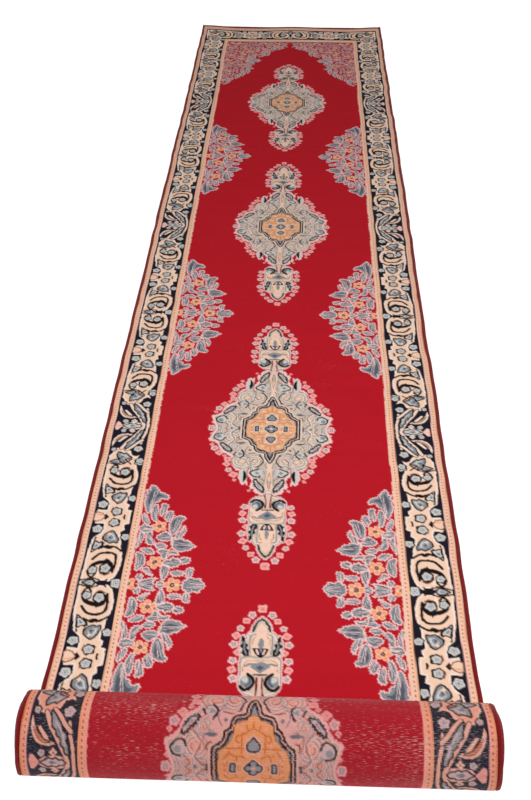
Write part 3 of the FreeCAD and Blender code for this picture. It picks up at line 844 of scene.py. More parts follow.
@dataclass
class CornerSpray:
    """Leaves and flowers that fill a corner of the field and arch along the rug's end.

    Sizes are millimetres. The small leaves stand on a loose grid of the spacing, each moved by
    up to the jitter; the share of each kind is out of one.
    """

    seed: int = 4
    first: float = 202.0
    last: float = 696.0
    width: float = 283.0
    spacing: Point = (14.5, 13.5)
    jitter: float = 4.0
    leaf_sizes: Point = (10.0, 15.0)
    flower_share: float = 0.13
    leaf_share: float = 0.75
    rim_start: float = 66.0
    rim_spacing: float = 19.0

    def edge(self, x: np.ndarray) -> np.ndarray:
        """How far the spray reaches from the rug's end, at places across."""
        return np.interp(x, (0, 8, 25, 45, 70, 95, 102, 150, 164, 172, 205, 250, 265, 283),
                         (214, 252, 296, 288, 296, 330, 366, 386, 420, 560, 610, 660, 690, 698))

    def draw(self, chart: Chart) -> None:
        """Draw the filling, the leaves along its edge and the line at the field's end."""
        chance = np.random.default_rng(self.seed)
        self._filling(chart, chance)
        self._rim(chart, chance)
        chart.line(Wool.BROWN, np.array([(-9.0, self.first), (self.width + 7, self.first)]), 9)

    def _filling(self, chart: Chart, chance: np.random.Generator) -> None:
        """Small leaves and blossoms close together, inside the spray's edge."""
        for y in np.arange(self.first + 6, self.last, self.spacing[1]):
            for x in np.arange(4 + 7 * (round(y) % 2), self.width, self.spacing[0]):
                x_here = x + chance.uniform(-self.jitter, self.jitter)
                y_here = y + chance.uniform(-self.jitter, self.jitter)
                if y_here > float(self.edge(np.array(x_here))) - 9:
                    continue
                angle, size = chance.uniform(0, 2 * math.pi), chance.uniform(*self.leaf_sizes)
                pick = chance.uniform()
                if pick < self.flower_share:
                    draw_flower(chart, (x_here, y_here), 8.5, angle)
                    continue
                reach = (size * math.cos(angle) / 2, size * math.sin(angle) / 2)
                shape = leaf((x_here - reach[0], y_here - reach[1]),
                             (x_here + reach[0], y_here + reach[1]), 6.5, 1.5, 2)
                draw_leaf(chart, shape, Wool.BLUSH if pick < self.leaf_share else Wool.MIST, 1.3)

    def _rim(self, chart: Chart, chance: np.random.Generator) -> None:
        """Longer leaves at equal steps along the edge, each leaning across it."""
        across = np.arange(12.0, self.width)
        rim = np.stack([across, self.edge(across)], -1)
        runs = np.concatenate([[0], np.cumsum(np.hypot(*np.diff(rim, axis=0).T))])
        for run in np.arange(self.rim_start, runs[-1], self.rim_spacing):
            foot, ahead = (np.array([np.interp(place, runs, rim[:, k]) for k in (0, 1)])
                           for place in (run, run + 6.0))
            step = ahead - foot
            out = np.array([-step[1], step[0]]) / (np.hypot(*step) + TINY)
            reach = 4 + 5 * chance.uniform()
            draw_leaf(chart, leaf(tuple(foot - 20 * out - 0.8 * reach * step),
                                  tuple(foot + reach * out), 9, 2, 3), Wool.BLUSH, 2.0)


# ------------------------------------------------------------------ noise that repeats each run
def value_noise(x: np.ndarray, y: np.ndarray, scale: float, seed: int) -> np.ndarray:
    """Smooth noise from -1 to 1: random numbers on a grid of the scale, blended between."""
    cells = 255
    lattice = np.random.default_rng(seed).uniform(-1, 1, (cells + 1, cells + 1))
    u, v = x / scale + 97.3, y / scale + 41.7
    i, j = np.floor(u).astype(int), np.floor(v).astype(int)
    fu, fv = u - i, v - j
    fu, fv = fu * fu * (3 - 2 * fu), fv * fv * (3 - 2 * fv)
    i, j = i % cells, j % cells
    return ((lattice[i, j] * (1 - fu) + lattice[i + 1, j] * fu) * (1 - fv)
            + (lattice[i, j + 1] * (1 - fu) + lattice[i + 1, j + 1] * fu) * fv)


@dataclass(frozen=True)
class Unevenness:
    """Noise from -size to size on a grid of the scale, which is in metres, with its own seed."""

    size: float
    scale: float
    seed: int

    def at(self, x: np.ndarray, y: np.ndarray) -> np.ndarray:
        """Its value at each place."""
        return self.size * value_noise(x, y, self.scale, self.seed)


# ------------------------------------------------------------------ the rug's sizes and path
@dataclass
class RugSizes:
    """Sizes of the rug in metres: the CAD model's, apart from the stops of the end stripes.

    The stops end_guard, end_border and end_field are the distances from an end at which the
    outer guard, the border and the inner guard stop; they lie up to 12 mm further in than in the
    CAD model. Rows pairs places along with phases of the pattern, 1000 to a repeat.
    """

    length: float = 4.744
    ground: float = 0.0035
    pile: float = 0.0065
    clearance: float = 0.0004
    edge_thickness: float = 0.009
    binding: float = 0.012
    field_half: float = 0.283
    inner_guard_half: float = 0.301
    border_half: float = 0.389
    weave_half: float = 0.405
    rug_half: float = 0.415
    end_guard: float = 0.062
    end_border: float = 0.166
    end_field: float = 0.200
    first_row: float = 0.872
    repeat: float = 1.0
    rows: tuple[tuple[float, int], ...] = (
        (0.477, -449), (0.654, -240), (0.877, 0), (1.1285, 240), (1.310, 449), (1.870, 1000),
        (2.867, 2000), (3.145, 2285), (3.284, 2423), (3.367, 2500), (3.448, 2577), (3.580, 2715),
        (3.886, 3000))

    @property
    def top(self) -> float:
        """Depth of the tips of the pile above the back."""
        return self.ground + self.pile

    @property
    def pitch(self) -> float:
        """From one wrap of the roll to the next."""
        return self.top + self.clearance


class RugPath:
    """The line that the textile follows: flat, then half circles that shrink by half a pitch.

    Each wave is a place across, a width and a height of the curled far end. Both edges are
    pulled to the right by pull_flat, and each by its own pull besides where it is rolled.
    """

    half_circles: int = 12
    waves: tuple[tuple[float, float, float], ...] = (
        (-0.40, 0.11, 0.009), (0.40, 0.08, 0.0065), (0.02, 0.12, 0.0048))
    curl_length: float = 0.16
    swell = Unevenness(0.0012, 0.31, 5)
    drift = Unevenness(0.0014, 0.23, 8)
    ripple = Unevenness(0.0016, 0.065, 9)
    ragged = Unevenness(0.003, 0.11, 12)
    bulge = Unevenness(0.0010, 0.19, 21)
    pull_flat: float = 0.0035
    pull_left: float = 0.0085
    pull_right: float = -0.0025

    def __init__(self, sizes: RugSizes) -> None:
        """Read the path from the CAD model's box: the roll stands two radii high."""
        low, high = CAD_BOX
        self.sizes = sizes
        self.radius = (high[2] - low[2]) / 2
        self.far_y = high[1]
        self.curl_y = low[1] + self.radius
        self.flat = self.far_y - self.curl_y
        self.neutral = sizes.ground / 2
        turns = np.arange(self.half_circles)
        lengths = math.pi * (self.radius - turns * sizes.pitch / 2 - self.neutral)
        self.starts = self.flat + np.concatenate([[0], np.cumsum(lengths)])

    def lift(self, across: np.ndarray, along: np.ndarray) -> np.ndarray:
        """How far the flat part stands off the floor: low swells, and a far end that curls up.

        The far end rises as exp(-(along / curl length)^2) times the sum of its waves, each
        height * exp(-((across - place) / width)^2). The swells are noise that dies out at the
        far end and towards the roll.
        """
        curl = np.exp(-((along / self.curl_length) ** 2))
        wave = sum(height * np.exp(-(((across - place) / width) ** 2))
                   for place, width, height in self.waves)
        swell = self.swell.size + self.swell.at(across, along)
        fade = np.clip((self.flat - along) / 0.35, 0, 1)
        return curl * wave + swell * fade * np.clip(along / 0.2, 0, 1)

    def sway(self, across: np.ndarray, along: np.ndarray) -> np.ndarray:
        """Sideways drift of the edges, as in hand weaving: at most 12 mm, on the roll's left."""
        edge = across / self.sizes.rug_half
        drift = self.drift.at(along, np.zeros_like(along))
        ripple = self.ripple.at(along, np.ones_like(along))
        rolled = np.clip((along - self.flat) / 0.1, 0, 1)
        ragged = self.ragged.at(along, np.ones_like(along) * 3)
        left = self.pull_flat + self.pull_left * rolled
        right = self.pull_flat + self.pull_right * rolled
        pull = np.where(across < 0, left, right) * np.abs(edge) ** 3
        return drift + pull + edge**3 * (ripple + rolled * ragged)

    def place(self, across: np.ndarray, along: np.ndarray, depth: np.ndarray) -> np.ndarray:
        """Places in the room for places on the rug.

        On the flat: (x, far end - along, depth + lift). On half circle k: centre + (radius k -
        depth + bulge) * (side sin a, side cos a), where a is the length run on it over its neutral
        radius.
        """
        across, along, depth = np.broadcast_arrays(across, along, depth)
        turn = np.clip(np.searchsorted(self.starts, along, side="right") - 1, 0,
                       self.half_circles - 1)
        side = np.where(turn % 2 == 0, -1.0, 1.0)
        back = self.radius - turn * self.sizes.pitch / 2
        angle = (along - self.starts[turn]) / (back - self.neutral)
        around = angle + np.pi * (turn % 2)
        ease = np.clip((along - self.flat) / 0.06, 0, 1)
        bulge = self.bulge.at(across, around) * np.sin(around / 2) ** 2 * ease
        reach = back - depth + bulge
        y = self.curl_y + side * reach * np.sin(angle)
        z = self.radius + (turn % 2) * self.sizes.pitch / 2 + side * reach * np.cos(angle)
        flat = along < self.flat
        y = np.where(flat, self.far_y - along, y)
        z = np.where(flat, depth + self.lift(across, along), z)
        return np.stack([across + self.sway(across, along), y, z], -1)


# ------------------------------------------------------------------ the whole pattern
class Pattern:
    """Colours of the rug, at any place on it, from the charts of its repeat and its corner.

    The shifts make drawn lines uneven. The corner's chart is used for corner_all millimetres
    from an end, and for corner_long at more than corner_side from the centre line.
    """

    knot_shift = Unevenness(0.9, 0.0055, 32)
    line_shift = Unevenness(0.9, 0.05, 31)
    corner_all: float = 402.0
    corner_long: float = 730.0
    corner_side: float = 165.0
    painted_binding_shadow: float = 0.012        # metres of dark wool beyond each binding: painted shadow of the binding on the pile
    end_line: float = 5.0           # half width in millimetres of the lines between end stripes
    end_scale: float = 1.05         # how much closer the border's drawing is along an end

    def __init__(self, sizes: RugSizes) -> None:
        """Draw the charts once."""
        self.sizes = sizes
        self.repeat = Chart(across=415, along=503, start=-3)
        for part in (SideSpray(), Medallion(), Pendant(), BorderVine(),
                     GuardStripe(283, 301, (Wool.GUARD, Wool.BLACK)),
                     GuardStripe(389, 405, (Wool.BLACK, Wool.LINE))):
            part.draw(self.repeat)
        self.repeat.box(Wool.MADDER, (405, -EDGE_OVERLAP), (416, HALF_REPEAT + EDGE_OVERLAP))
        self.corner = Chart(across=284, along=730, start=180)
        CornerSpray().draw(self.corner)

    def colours(self, across: np.ndarray, along: np.ndarray, back: bool) -> np.ndarray:
        """Scene colours at places on the rug.

        The place along is turned into a phase, in millimetres of an equal repeat, and folded
        about the nearest medallion; places near an end are measured from that end. The stripes
        keep straight edges, without the shift of single knots.

        Args:
            across: metres from the centre line.
            along: metres from the far end.
            back: whether the back of the rug is wanted.

        Returns:
            One colour for each place.
        """
        s = self.sizes
        stops, phases = np.array(s.rows).T
        far, near = phases[0] - MM * stops[0], phases[-1] + MM * (s.length - stops[-1])
        phase = np.interp(along, [0.0, *stops, s.length], [far, *phases, near])
        repeat = 2 * HALF_REPEAT
        fold = np.abs(phase - repeat * np.round(phase / repeat))
        knots = self.knot_shift.at(across, along)
        shift = self.line_shift.at(across, along) + knots
        halves = MM * np.array([s.field_half, s.inner_guard_half, s.border_half, s.weave_half,
                                s.rug_half])
        field_edge, guard_edge, border_edge = halves[:3]
        x = np.abs(across) * MM + shift
        straight = (x > field_edge + 1) & (x < guard_edge) | (x > border_edge)
        x = np.where(straight, x - knots, x)
        result = self.repeat.colours(x, fold + shift, back)

        end = np.minimum(along, s.length - along) * MM
        beyond = (phase < 0) | (phase > phases[-1])
        corner = beyond & (end < self.corner_long) & (x < field_edge) & (
            (x > self.corner_side) | (end < self.corner_all))
        result = np.where(corner[..., None], self.corner.colours(x, end, back), result)

        # Past the binding, the end keeps a further strip of the dark edge wool: painted shadow of the
        # binding.
        band = MM * np.array([s.end_field, s.end_border, s.end_guard, s.binding + self.painted_binding_shadow,
                              0.0])
        swapped = np.interp(end, band[::-1], halves[::-1])
        on_end = (end < band[0]) & (x < swapped)
        turned = self.repeat.colours(swapped, np.abs(HALF_REPEAT - x * self.end_scale), back)
        result = np.where(on_end[..., None], turned, result)
        dark = linear(np.array(Wool.BLACK.value.back if back else Wool.BLACK.value.pile))
        for stop in band[1:3]:
            on_line = on_end & (np.abs(end - stop) < self.end_line)
            result = np.where(on_line[..., None], dark, result)
        return result


# ------------------------------------------------------------------ finishes
@dataclass(frozen=True)
class Finish:
    """A procedural material: wool or cotton, coloured by the knots of the piece.

    Sizes are metres; those in pairs are across and along the rug. A fleck shows where the noise
    of the dashes, raised by that of the patches, comes above the fleck floor.
    """

    name: str
    roughness: float = 0.95
    sheen: float = 0.25
    variation: float = 0.10
    tuft: float = 0.0021
    relief: float = 0.0006
    flecks: float = 0.0
    fleck_floor: float = 0.83
    ribs: float = 0.0
    plain: tuple[float, float, float] | None = None
    specular: float = 0.06
    sheen_roughness: float = 0.45
    bump: float = 0.7
    streaks: Point = (0.16, 0.035)
    dashes: Point = (0.0105, 0.0011)
    patches: Point = (0.20, 0.06)
    patch_weight: float = 0.45
    fleck_edge: float = 5.0
    fleck_colour: tuple[float, float, float, float] = (0.86, 0.66, 0.62, 1.0)

    def material(self) -> bpy.types.Material:
        """Build the node tree once and return it each time."""
        known = bpy.data.materials.get(self.name)
        if known:
            return known
        made = bpy.data.materials.new(self.name)
        made.use_nodes = True
        tree = made.node_tree
        shader = tree.nodes["Principled BSDF"]
        shader.inputs["Roughness"].default_value = self.roughness
        shader.inputs["Specular IOR Level"].default_value = self.specular
        shader.inputs["Sheen Weight"].default_value = self.sheen
        shader.inputs["Sheen Roughness"].default_value = self.sheen_roughness
        place = tree.nodes.new("ShaderNodeUVMap")
        place.uv_map = "rug_place"
        colour = self._colour(tree, place)
        tree.links.new(colour, shader.inputs["Base Color"])
        tree.links.new(self._relief(tree, place), shader.inputs["Normal"])
        return made

    def _noise(self, tree: bpy.types.NodeTree, place: bpy.types.Node, size: Point,
               detail: float = 2.0) -> bpy.types.NodeSocket:
        """Noise with features of a given size in metres across and along the rug."""
        mapping = tree.nodes.new("ShaderNodeMapping")
        mapping.inputs["Scale"].default_value = (1 / size[0], 1 / size[1], 1.0)
        noise = tree.nodes.new("ShaderNodeTexNoise")
        noise.inputs["Scale"].default_value = 1.0
        noise.inputs["Detail"].default_value = detail
        tree.links.new(place.outputs["UV"], mapping.inputs["Vector"])
        tree.links.new(mapping.outputs["Vector"], noise.inputs["Vector"])
        return noise.outputs["Fac"]

    def _math(self, tree: bpy.types.NodeTree, operation: str, first: object,
              second: object = 0.0, third: object = 0.0) -> bpy.types.NodeSocket:
        """One arithmetic node; each operand is a socket or a number."""
        node = tree.nodes.new("ShaderNodeMath")
        node.operation = operation
        for socket, operand in zip(node.inputs, (first, second, third)):
            if isinstance(operand, bpy.types.NodeSocket):
                tree.links.new(operand, socket)
            else:
                socket.default_value = operand
        return node.outputs["Value"]

    def _mix(self, tree: bpy.types.NodeTree, blend: str, factor: object, first: object,
             second: object) -> bpy.types.NodeSocket:
        """Mix two colours; the factor and the colours are sockets or plain values."""
        node = tree.nodes.new("ShaderNodeMix")
        node.data_type = "RGBA"
        node.blend_type = blend
        operands = ((node.inputs[0], factor), (node.inputs[6], first), (node.inputs[7], second))
        for socket, operand in operands:
            if isinstance(operand, bpy.types.NodeSocket):
                tree.links.new(operand, socket)
            else:
                socket.default_value = operand
        return node.outputs[2]

    def _colour(self, tree: bpy.types.NodeTree, place: bpy.types.Node) -> bpy.types.NodeSocket:
        """Colour of the knots, made uneven by patches, streaks and single tufts."""
        if self.plain is None:
            knots = tree.nodes.new("ShaderNodeAttribute")
            knots.attribute_name = "knots"
            colour = knots.outputs["Color"]
        else:
            colour = (*self.plain, 1.0)
        light = self._math(tree, "MULTIPLY_ADD", self._noise(tree, place, self.streaks),
                           self.variation * 1.2, 1 - self.variation * 0.6)
        tufts = self._math(tree, "MULTIPLY_ADD",
                           self._noise(tree, place, (self.tuft * 1.1, self.tuft), 1.0),
                           self.variation * 2.4, 1 - self.variation * 1.2)
        together = self._math(tree, "MULTIPLY", light, tufts)
        combine = tree.nodes.new("ShaderNodeCombineColor")
        for socket in combine.inputs:
            tree.links.new(together, socket)
        colour = self._mix(tree, "MULTIPLY", 1.0, colour, combine.outputs["Color"])
        if self.flecks:
            dashes = self._noise(tree, place, self.dashes, 1.0)
            patches = self._noise(tree, place, self.patches)
            fleck = self._math(tree, "MULTIPLY_ADD", patches, self.patch_weight, dashes)
            for operation, operand in (("SUBTRACT", self.fleck_floor), ("MULTIPLY", self.fleck_edge),
                                       ("MAXIMUM", 0.0), ("MINIMUM", 1.0),
                                       ("MULTIPLY", self.flecks)):
                fleck = self._math(tree, operation, fleck, operand)
            colour = self._mix(tree, "MIX", fleck, colour, self.fleck_colour)
        return colour

    def _relief(self, tree: bpy.types.NodeTree, place: bpy.types.Node) -> bpy.types.NodeSocket:
        """Bump of the wool: fibres and tufts, and rows of knots where the finish has ribs."""
        fibres = self._noise(tree, place, (self.tuft * 0.6, self.tuft * 0.6), 3.0)
        tufts = self._noise(tree, place, (self.tuft * 2.2, self.tuft * 1.8), 1.0)
        height = self._math(tree, "MULTIPLY_ADD", tufts, 0.8, fibres)
        if self.ribs:
            split = tree.nodes.new("ShaderNodeSeparateXYZ")
            tree.links.new(place.outputs["UV"], split.inputs["Vector"])
            rows, columns = (
                self._math(tree, "SINE", self._math(tree, "MULTIPLY", split.outputs[axis],
                                                    2 * math.pi / self.ribs))
                for axis in "YX")
            knots = self._math(tree, "MULTIPLY_ADD", columns, 0.4, rows)
            height = self._math(tree, "MULTIPLY_ADD", knots, 0.5, height)
        bump = tree.nodes.new("ShaderNodeBump")
        bump.inputs["Strength"].default_value = self.bump
        bump.inputs["Distance"].default_value = self.relief
        tree.links.new(height, bump.inputs["Height"])
        return bump.outputs["Normal"]


PILE = Finish("cut_wool_pile", sheen=0.01, variation=0.10, relief=0.0006, flecks=0.3,
              fleck_floor=0.97)
BACK = Finish("knotted_back", roughness=0.9, sheen=0.1, variation=0.16, relief=0.0006, flecks=0.52,
              ribs=0.0026)
OVERCAST = Finish("overcast_wool", sheen=0.2, variation=0.2, relief=0.0012, tuft=0.003,
                  ribs=0.0034)
CORD = Finish("cotton_cord", sheen=0.05, variation=0.12, plain=(0.66, 0.58, 0.45), ribs=0.004)


# ------------------------------------------------------------------ meshes
@dataclass(frozen=True)
class Patch:
    """A rectangle of the rug between two places across and two along, in metres."""

    left: float
    right: float
    start: float
    end: float

    def rows(self, step: float) -> np.ndarray:
        """Places along at which the patch has a row of points."""
        return np.linspace(self.start, self.end, max(2, round((self.end - self.start) / step) + 1))

    def columns(self, step: float) -> np.ndarray:
        """Places across at which the patch has a column of points."""
        return np.linspace(self.left, self.right, max(2, round((self.right - self.left) / step) + 1))

    def cut(self, places: list[float]) -> list["Patch"]:
        """The patch cut across at some places along."""
        inside = sorted({p for p in places if self.start + HAIR < p < self.end - HAIR})
        ends = [self.start, *inside, self.end]
        return [Patch(self.left, self.right, a, b) for a, b in zip(ends, ends[1:])]

    @staticmethod
    def pair(left: float, right: float, row: float, near: float, far: float) -> list["Patch"]:
        """Two patches that lie from near to far on each side of a row."""
        return [Patch(left, right, row - far, row - near),
                Patch(left, right, row + near, row + far)]

    def mirrored(self) -> "Patch":
        """The same patch on the other side of the centre line."""
        return Patch(-self.right, -self.left, self.start, self.end)


@dataclass
class Sheaf:
    """Points and faces of closed slabs, gathered before one mesh is made of them."""

    places: list[np.ndarray] = field(default_factory=list)
    rug_places: list[np.ndarray] = field(default_factory=list)
    colours: list[np.ndarray] = field(default_factory=list)
    loops: list[np.ndarray] = field(default_factory=list)
    sides: list[np.ndarray] = field(default_factory=list)
    smooth: list[np.ndarray] = field(default_factory=list)
    rims: list[np.ndarray] = field(default_factory=list)
    count: int = 0

    def add(self, places: np.ndarray, rug_places: np.ndarray, colours: np.ndarray,
            faces: list[tuple[np.ndarray, bool]], rim: np.ndarray) -> None:
        """Add one closed slab.

        Args:
            places: its points in the room.
            rug_places: the same points on the rug, across and along.
            colours: their wool.
            faces: arrays of faces with equally many corners, and whether each array is smooth.
            rim: the points between smooth and flat faces, where the shading breaks.
        """
        self.rims.append(rim + self.count)
        for block, is_smooth in faces:
            self.loops.append((block + self.count).ravel())
            self.sides.append(np.full(len(block), block.shape[1]))
            self.smooth.append(np.full(len(block), is_smooth))
        self.places.append(places)
        self.rug_places.append(rug_places)
        self.colours.append(colours)
        self.count += len(places)

    def mesh(self, name: str, finish: Finish) -> bpy.types.Object:
        """Make the object, with the colours of its knots and its map of the rug."""
        loops = np.concatenate(self.loops).astype(np.int32)
        sides = np.concatenate(self.sides).astype(np.int32)
        data = bpy.data.meshes.new(name)
        data.vertices.add(self.count)
        data.vertices.foreach_set("co", np.vstack(self.places).astype(np.float32).ravel())
        data.loops.add(len(loops))
        data.loops.foreach_set("vertex_index", loops)
        data.polygons.add(len(sides))
        starts = np.concatenate([[0], np.cumsum(sides)[:-1]]).astype(np.int32)
        data.polygons.foreach_set("loop_start", starts)
        data.update(calc_edges=True)
        data.polygons.foreach_set("use_smooth", np.concatenate(self.smooth))
        on_rim = np.zeros(self.count, bool)
        on_rim[np.concatenate(self.rims)] = True
        ends = np.empty(2 * len(data.edges), np.int32)
        data.edges.foreach_get("vertices", ends)
        sharp = on_rim[ends].reshape(-1, 2).all(1)
        data.attributes.new("sharp_edge", "BOOLEAN", "EDGE").data.foreach_set("value", sharp)
        rgba = np.ones((self.count, 4), np.float32)
        rgba[:, :3] = np.vstack(self.colours)
        data.attributes.new("knots", "FLOAT_COLOR", "POINT").data.foreach_set("color", rgba.ravel())
        where = np.vstack(self.rug_places)[loops].astype(np.float32)
        data.uv_layers.new(name="rug_place").data.foreach_set("uv", where.ravel())
        data.materials.append(finish.material())
        piece = bpy.data.objects.new(name, data)
        bpy.context.scene.collection.objects.link(piece)
        return piece


@dataclass(frozen=True)
class Grain:
    """How finely a piece is worked: spacing of points across and along, in metres."""

    across: float
    along: float


class Weaver:
    """Makes slabs and tubes that follow the rug's path and carry its pattern.

    The nap is the uneven height of the tips of the pile. A slab's plain face has a line of
    points along for each support gap of its width.
    """

    nap = Unevenness(0.0002, 0.012, 3)
    support_gap: float = 0.08

    def __init__(self, path: RugPath, pattern: Pattern) -> None:
        """Keep the path and the pattern."""
        self.path = path
        self.pattern = pattern

    def slab(self, sheaf: Sheaf, patch: Patch, low: float, high: float, grain: Grain,
             back: bool = False) -> None:
        """Add a closed slab that fills a patch between two depths.

        The fine face is a full grid; the other face has the grid's rim and a few lines along.

        Args:
            sheaf: where the slab goes.
            patch: its rectangle.
            low: depth of its under face.
            high: depth of its upper face.
            grain: spacing of the fine grid.
            back: whether the fine face is the under one, the rug's back.
        """
        columns, rows = patch.columns(grain.across), patch.rows(grain.along)
        n, m = len(columns), len(rows)
        across, along = np.meshgrid(columns, rows)
        fine_depth, plain_depth = (low, high) if back else (high, low)
        nap = 0.0 if back else self.nap.at(across, along)
        fine = self.path.place(across, along, fine_depth + nap).reshape(-1, 3)
        colours = self.pattern.colours(across, along, back).reshape(-1, 3)
        spots = np.stack([across.ravel(), along.ravel()], -1)

        index = np.arange(n * m).reshape(m, n)
        rim = np.concatenate([index[0], index[1:, -1], index[-1, -2::-1], index[-2:0:-1, 0]])
        lines = max(0, round((patch.right - patch.left) / self.support_gap) - 1)
        picks = np.linspace(0, n - 1, lines + 2).round().astype(int)[1:-1]
        inner = index[1:-1, picks].ravel()
        plain_from = np.concatenate([rim, inner])
        plain = self.path.place(spots[plain_from, 0], spots[plain_from, 1], plain_depth)

        quads = np.stack([index[:-1, :-1], index[1:, :-1], index[1:, 1:], index[:-1, 1:]], -1)
        edge = n * m + np.arange(len(rim))
        skirt = np.stack([rim, np.roll(rim, -1), np.roll(edge, -1), edge], -1)
        faces = [(quads.reshape(-1, 4), True), (skirt, False)]
        if m == 2:
            faces.append((edge[None], False))
        else:
            left = edge[(-np.arange(m)) % len(rim)][1:-1]
            right = edge[n - 1:n - 1 + m][1:-1]
            middle = n * m + len(rim) + np.arange(len(inner)).reshape(m - 2, lines)
            under = np.hstack([left[:, None], middle, right[:, None]])
            strips = np.stack([under[:-1, :-1], under[:-1, 1:], under[1:, 1:], under[1:, :-1]], -1)
            faces.append((np.concatenate([edge[:n], under[0, ::-1]])[None], False))
            faces.append((np.concatenate([edge[n + m - 2:2 * n + m - 2], under[-1]])[None], False))
            if m > 3:
                faces.append((strips.reshape(-1, 4), False))
        if back:
            faces = [(block[:, ::-1], smooth) for block, smooth in faces]
        source = np.concatenate([np.arange(n * m), plain_from])
        sheaf.add(np.vstack([fine, plain]), spots[source], colours[source], faces, rim)

    def tube(self, sheaf: Sheaf, across: np.ndarray, along: np.ndarray, depth: np.ndarray,
             flip: bool) -> None:
        """Add a closed tube whose rings are rows of points, with its two ends capped.

        Args:
            sheaf: where the tube goes.
            across: places across the rug, one ring a row.
            along: places along it.
            depth: depths above its back.
            flip: whether the rings run the other way round.
        """
        rings, sides = across.shape
        index = np.arange(rings * sides).reshape(rings, sides)
        after = np.roll(index, -1, axis=1)
        quads = np.stack([index[:-1], after[:-1], after[1:], index[1:]], -1).reshape(-1, 4)
        faces = [(quads, True), (index[0, ::-1][None], False), (index[-1][None], False)]
        if flip:
            faces = [(block[:, ::-1], smooth) for block, smooth in faces]
        places = self.path.place(across, along, depth).reshape(-1, 3)
        middle = np.broadcast_to(across.mean(1, keepdims=True), across.shape)
        colours = self.pattern.colours(middle, along, False).reshape(-1, 3)
        sheaf.add(places, np.stack([across.ravel(), along.ravel()], -1), colours, faces,
                  np.concatenate([index[0], index[-1]]))


# ------------------------------------------------------------------ the pieces of the rug
def finished(piece: bpy.types.Object, *nodes: str) -> bpy.types.Object:
    """Let a piece ride and stand for its CAD nodes.

    Args:
        piece: the new piece.
        nodes: the CAD nodes it stands for.

    Returns:
        The piece.
    """
    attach(piece, "root")
    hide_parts(*nodes)
    log.info("%s: %d faces", piece.name, len(piece.data.polygons))
    return piece


class Side(Enum):
    """The two sides of the rug, as signs of the place across."""

    LEFT = -1
    RIGHT = 1


@dataclass
class GroundWeave:
    """The cotton ground with the knots' backs: laid flat, then the roll's outer and inner wraps."""

    weaver: Weaver
    sizes: RugSizes
    flat_grain: Grain = Grain(0.006, 0.006)
    outer_grain: Grain = Grain(0.00205, 0.00205)
    inner_grain: Grain = Grain(0.006, 0.005)
    outer_half_circles: int = 2

    def build(self) -> None:
        """Weave the three lengths, each a piece of its own."""
        path = self.weaver.path
        half = self.sizes.weave_half
        stops = (0.0, path.flat, float(path.starts[self.outer_half_circles]), self.sizes.length)
        for name, start, end, grain in (("ground_weave_flat", *stops[0:2], self.flat_grain),
                                        ("ground_weave_roll_outer", *stops[1:3], self.outer_grain),
                                        ("ground_weave_roll_inner", *stops[2:4], self.inner_grain)):
            sheaf = Sheaf()
            self.weaver.slab(sheaf, Patch(-half, half, start, end), 0.0, self.sizes.ground, grain,
                             back=True)
            piece = finished(sheaf.mesh(name, BACK), "foundation_weave")


@dataclass
class Selvedge:
    """One side's edge: a cord of warps, overcast with wool in close turns."""

    weaver: Weaver
    sizes: RugSizes
    side: Side
    turn_pitch: float = 0.0036
    turn_samples: int = 3
    ring_sides: int = 8
    swell: float = 0.10
    cord_radius: float = 0.0014
    cord_lay: float = 0.009
    cord_inset: float = 0.001

    def build(self) -> None:
        """Make the overcast wrap and the cord inside it."""
        name = self.side.name.lower()
        finished(self._wrap().mesh(f"selvedge_overcast_{name}", OVERCAST), f"selvedge_wrap_{name}")
        finished(self._cord().mesh(f"selvedge_cord_{name}", CORD), f"selvedge_core_{name}")

    def _rings(self, step: float, inset: float) -> tuple[np.ndarray, np.ndarray]:
        """Places along and angles around, as two grids."""
        count = round((self.sizes.length - 2 * inset) / step) + 1
        along = np.linspace(inset, self.sizes.length - inset, count)
        angle = np.linspace(0, 2 * np.pi, self.ring_sides, endpoint=False)
        return np.meshgrid(along, angle, indexing="ij")

    def _tube(self, along: np.ndarray, angle: np.ndarray, half_sizes: Point,
              swell: np.ndarray) -> Sheaf:
        """Tube along the middle of the edge: an oval of the half sizes, times a swell."""
        middle = (self.sizes.rug_half + self.sizes.weave_half) / 2
        across = self.side.value * middle + half_sizes[0] * np.cos(angle) * swell
        depth = self.sizes.edge_thickness / 2 + half_sizes[1] * np.sin(angle) * swell
        sheaf = Sheaf()
        self.weaver.tube(sheaf, across, along, depth, flip=True)
        return sheaf

    def _wrap(self) -> Sheaf:
        """The overcasting: it swells by sin(2 pi s / pitch + angle) with each turn."""
        along, angle = self._rings(self.turn_pitch / self.turn_samples, 0.0)
        swell = 1 + self.swell * (np.sin(2 * np.pi * along / self.turn_pitch + angle) - 1) / 2
        half_width = (self.sizes.rug_half - self.sizes.weave_half) / 2
        return self._tube(along, angle, (half_width, self.sizes.edge_thickness / 2), swell)

    def _cord(self) -> Sheaf:
        """Two strands laid together: radius * (0.8 + 0.2 |cos(angle - 2 pi s / lay)|)."""
        along, angle = self._rings(self.cord_lay / self.turn_samples, self.cord_inset)
        swell = 0.8 + 0.2 * np.abs(np.cos(angle - 2 * np.pi * along / self.cord_lay))
        return self._tube(along, angle, (self.cord_radius, self.cord_radius), swell)


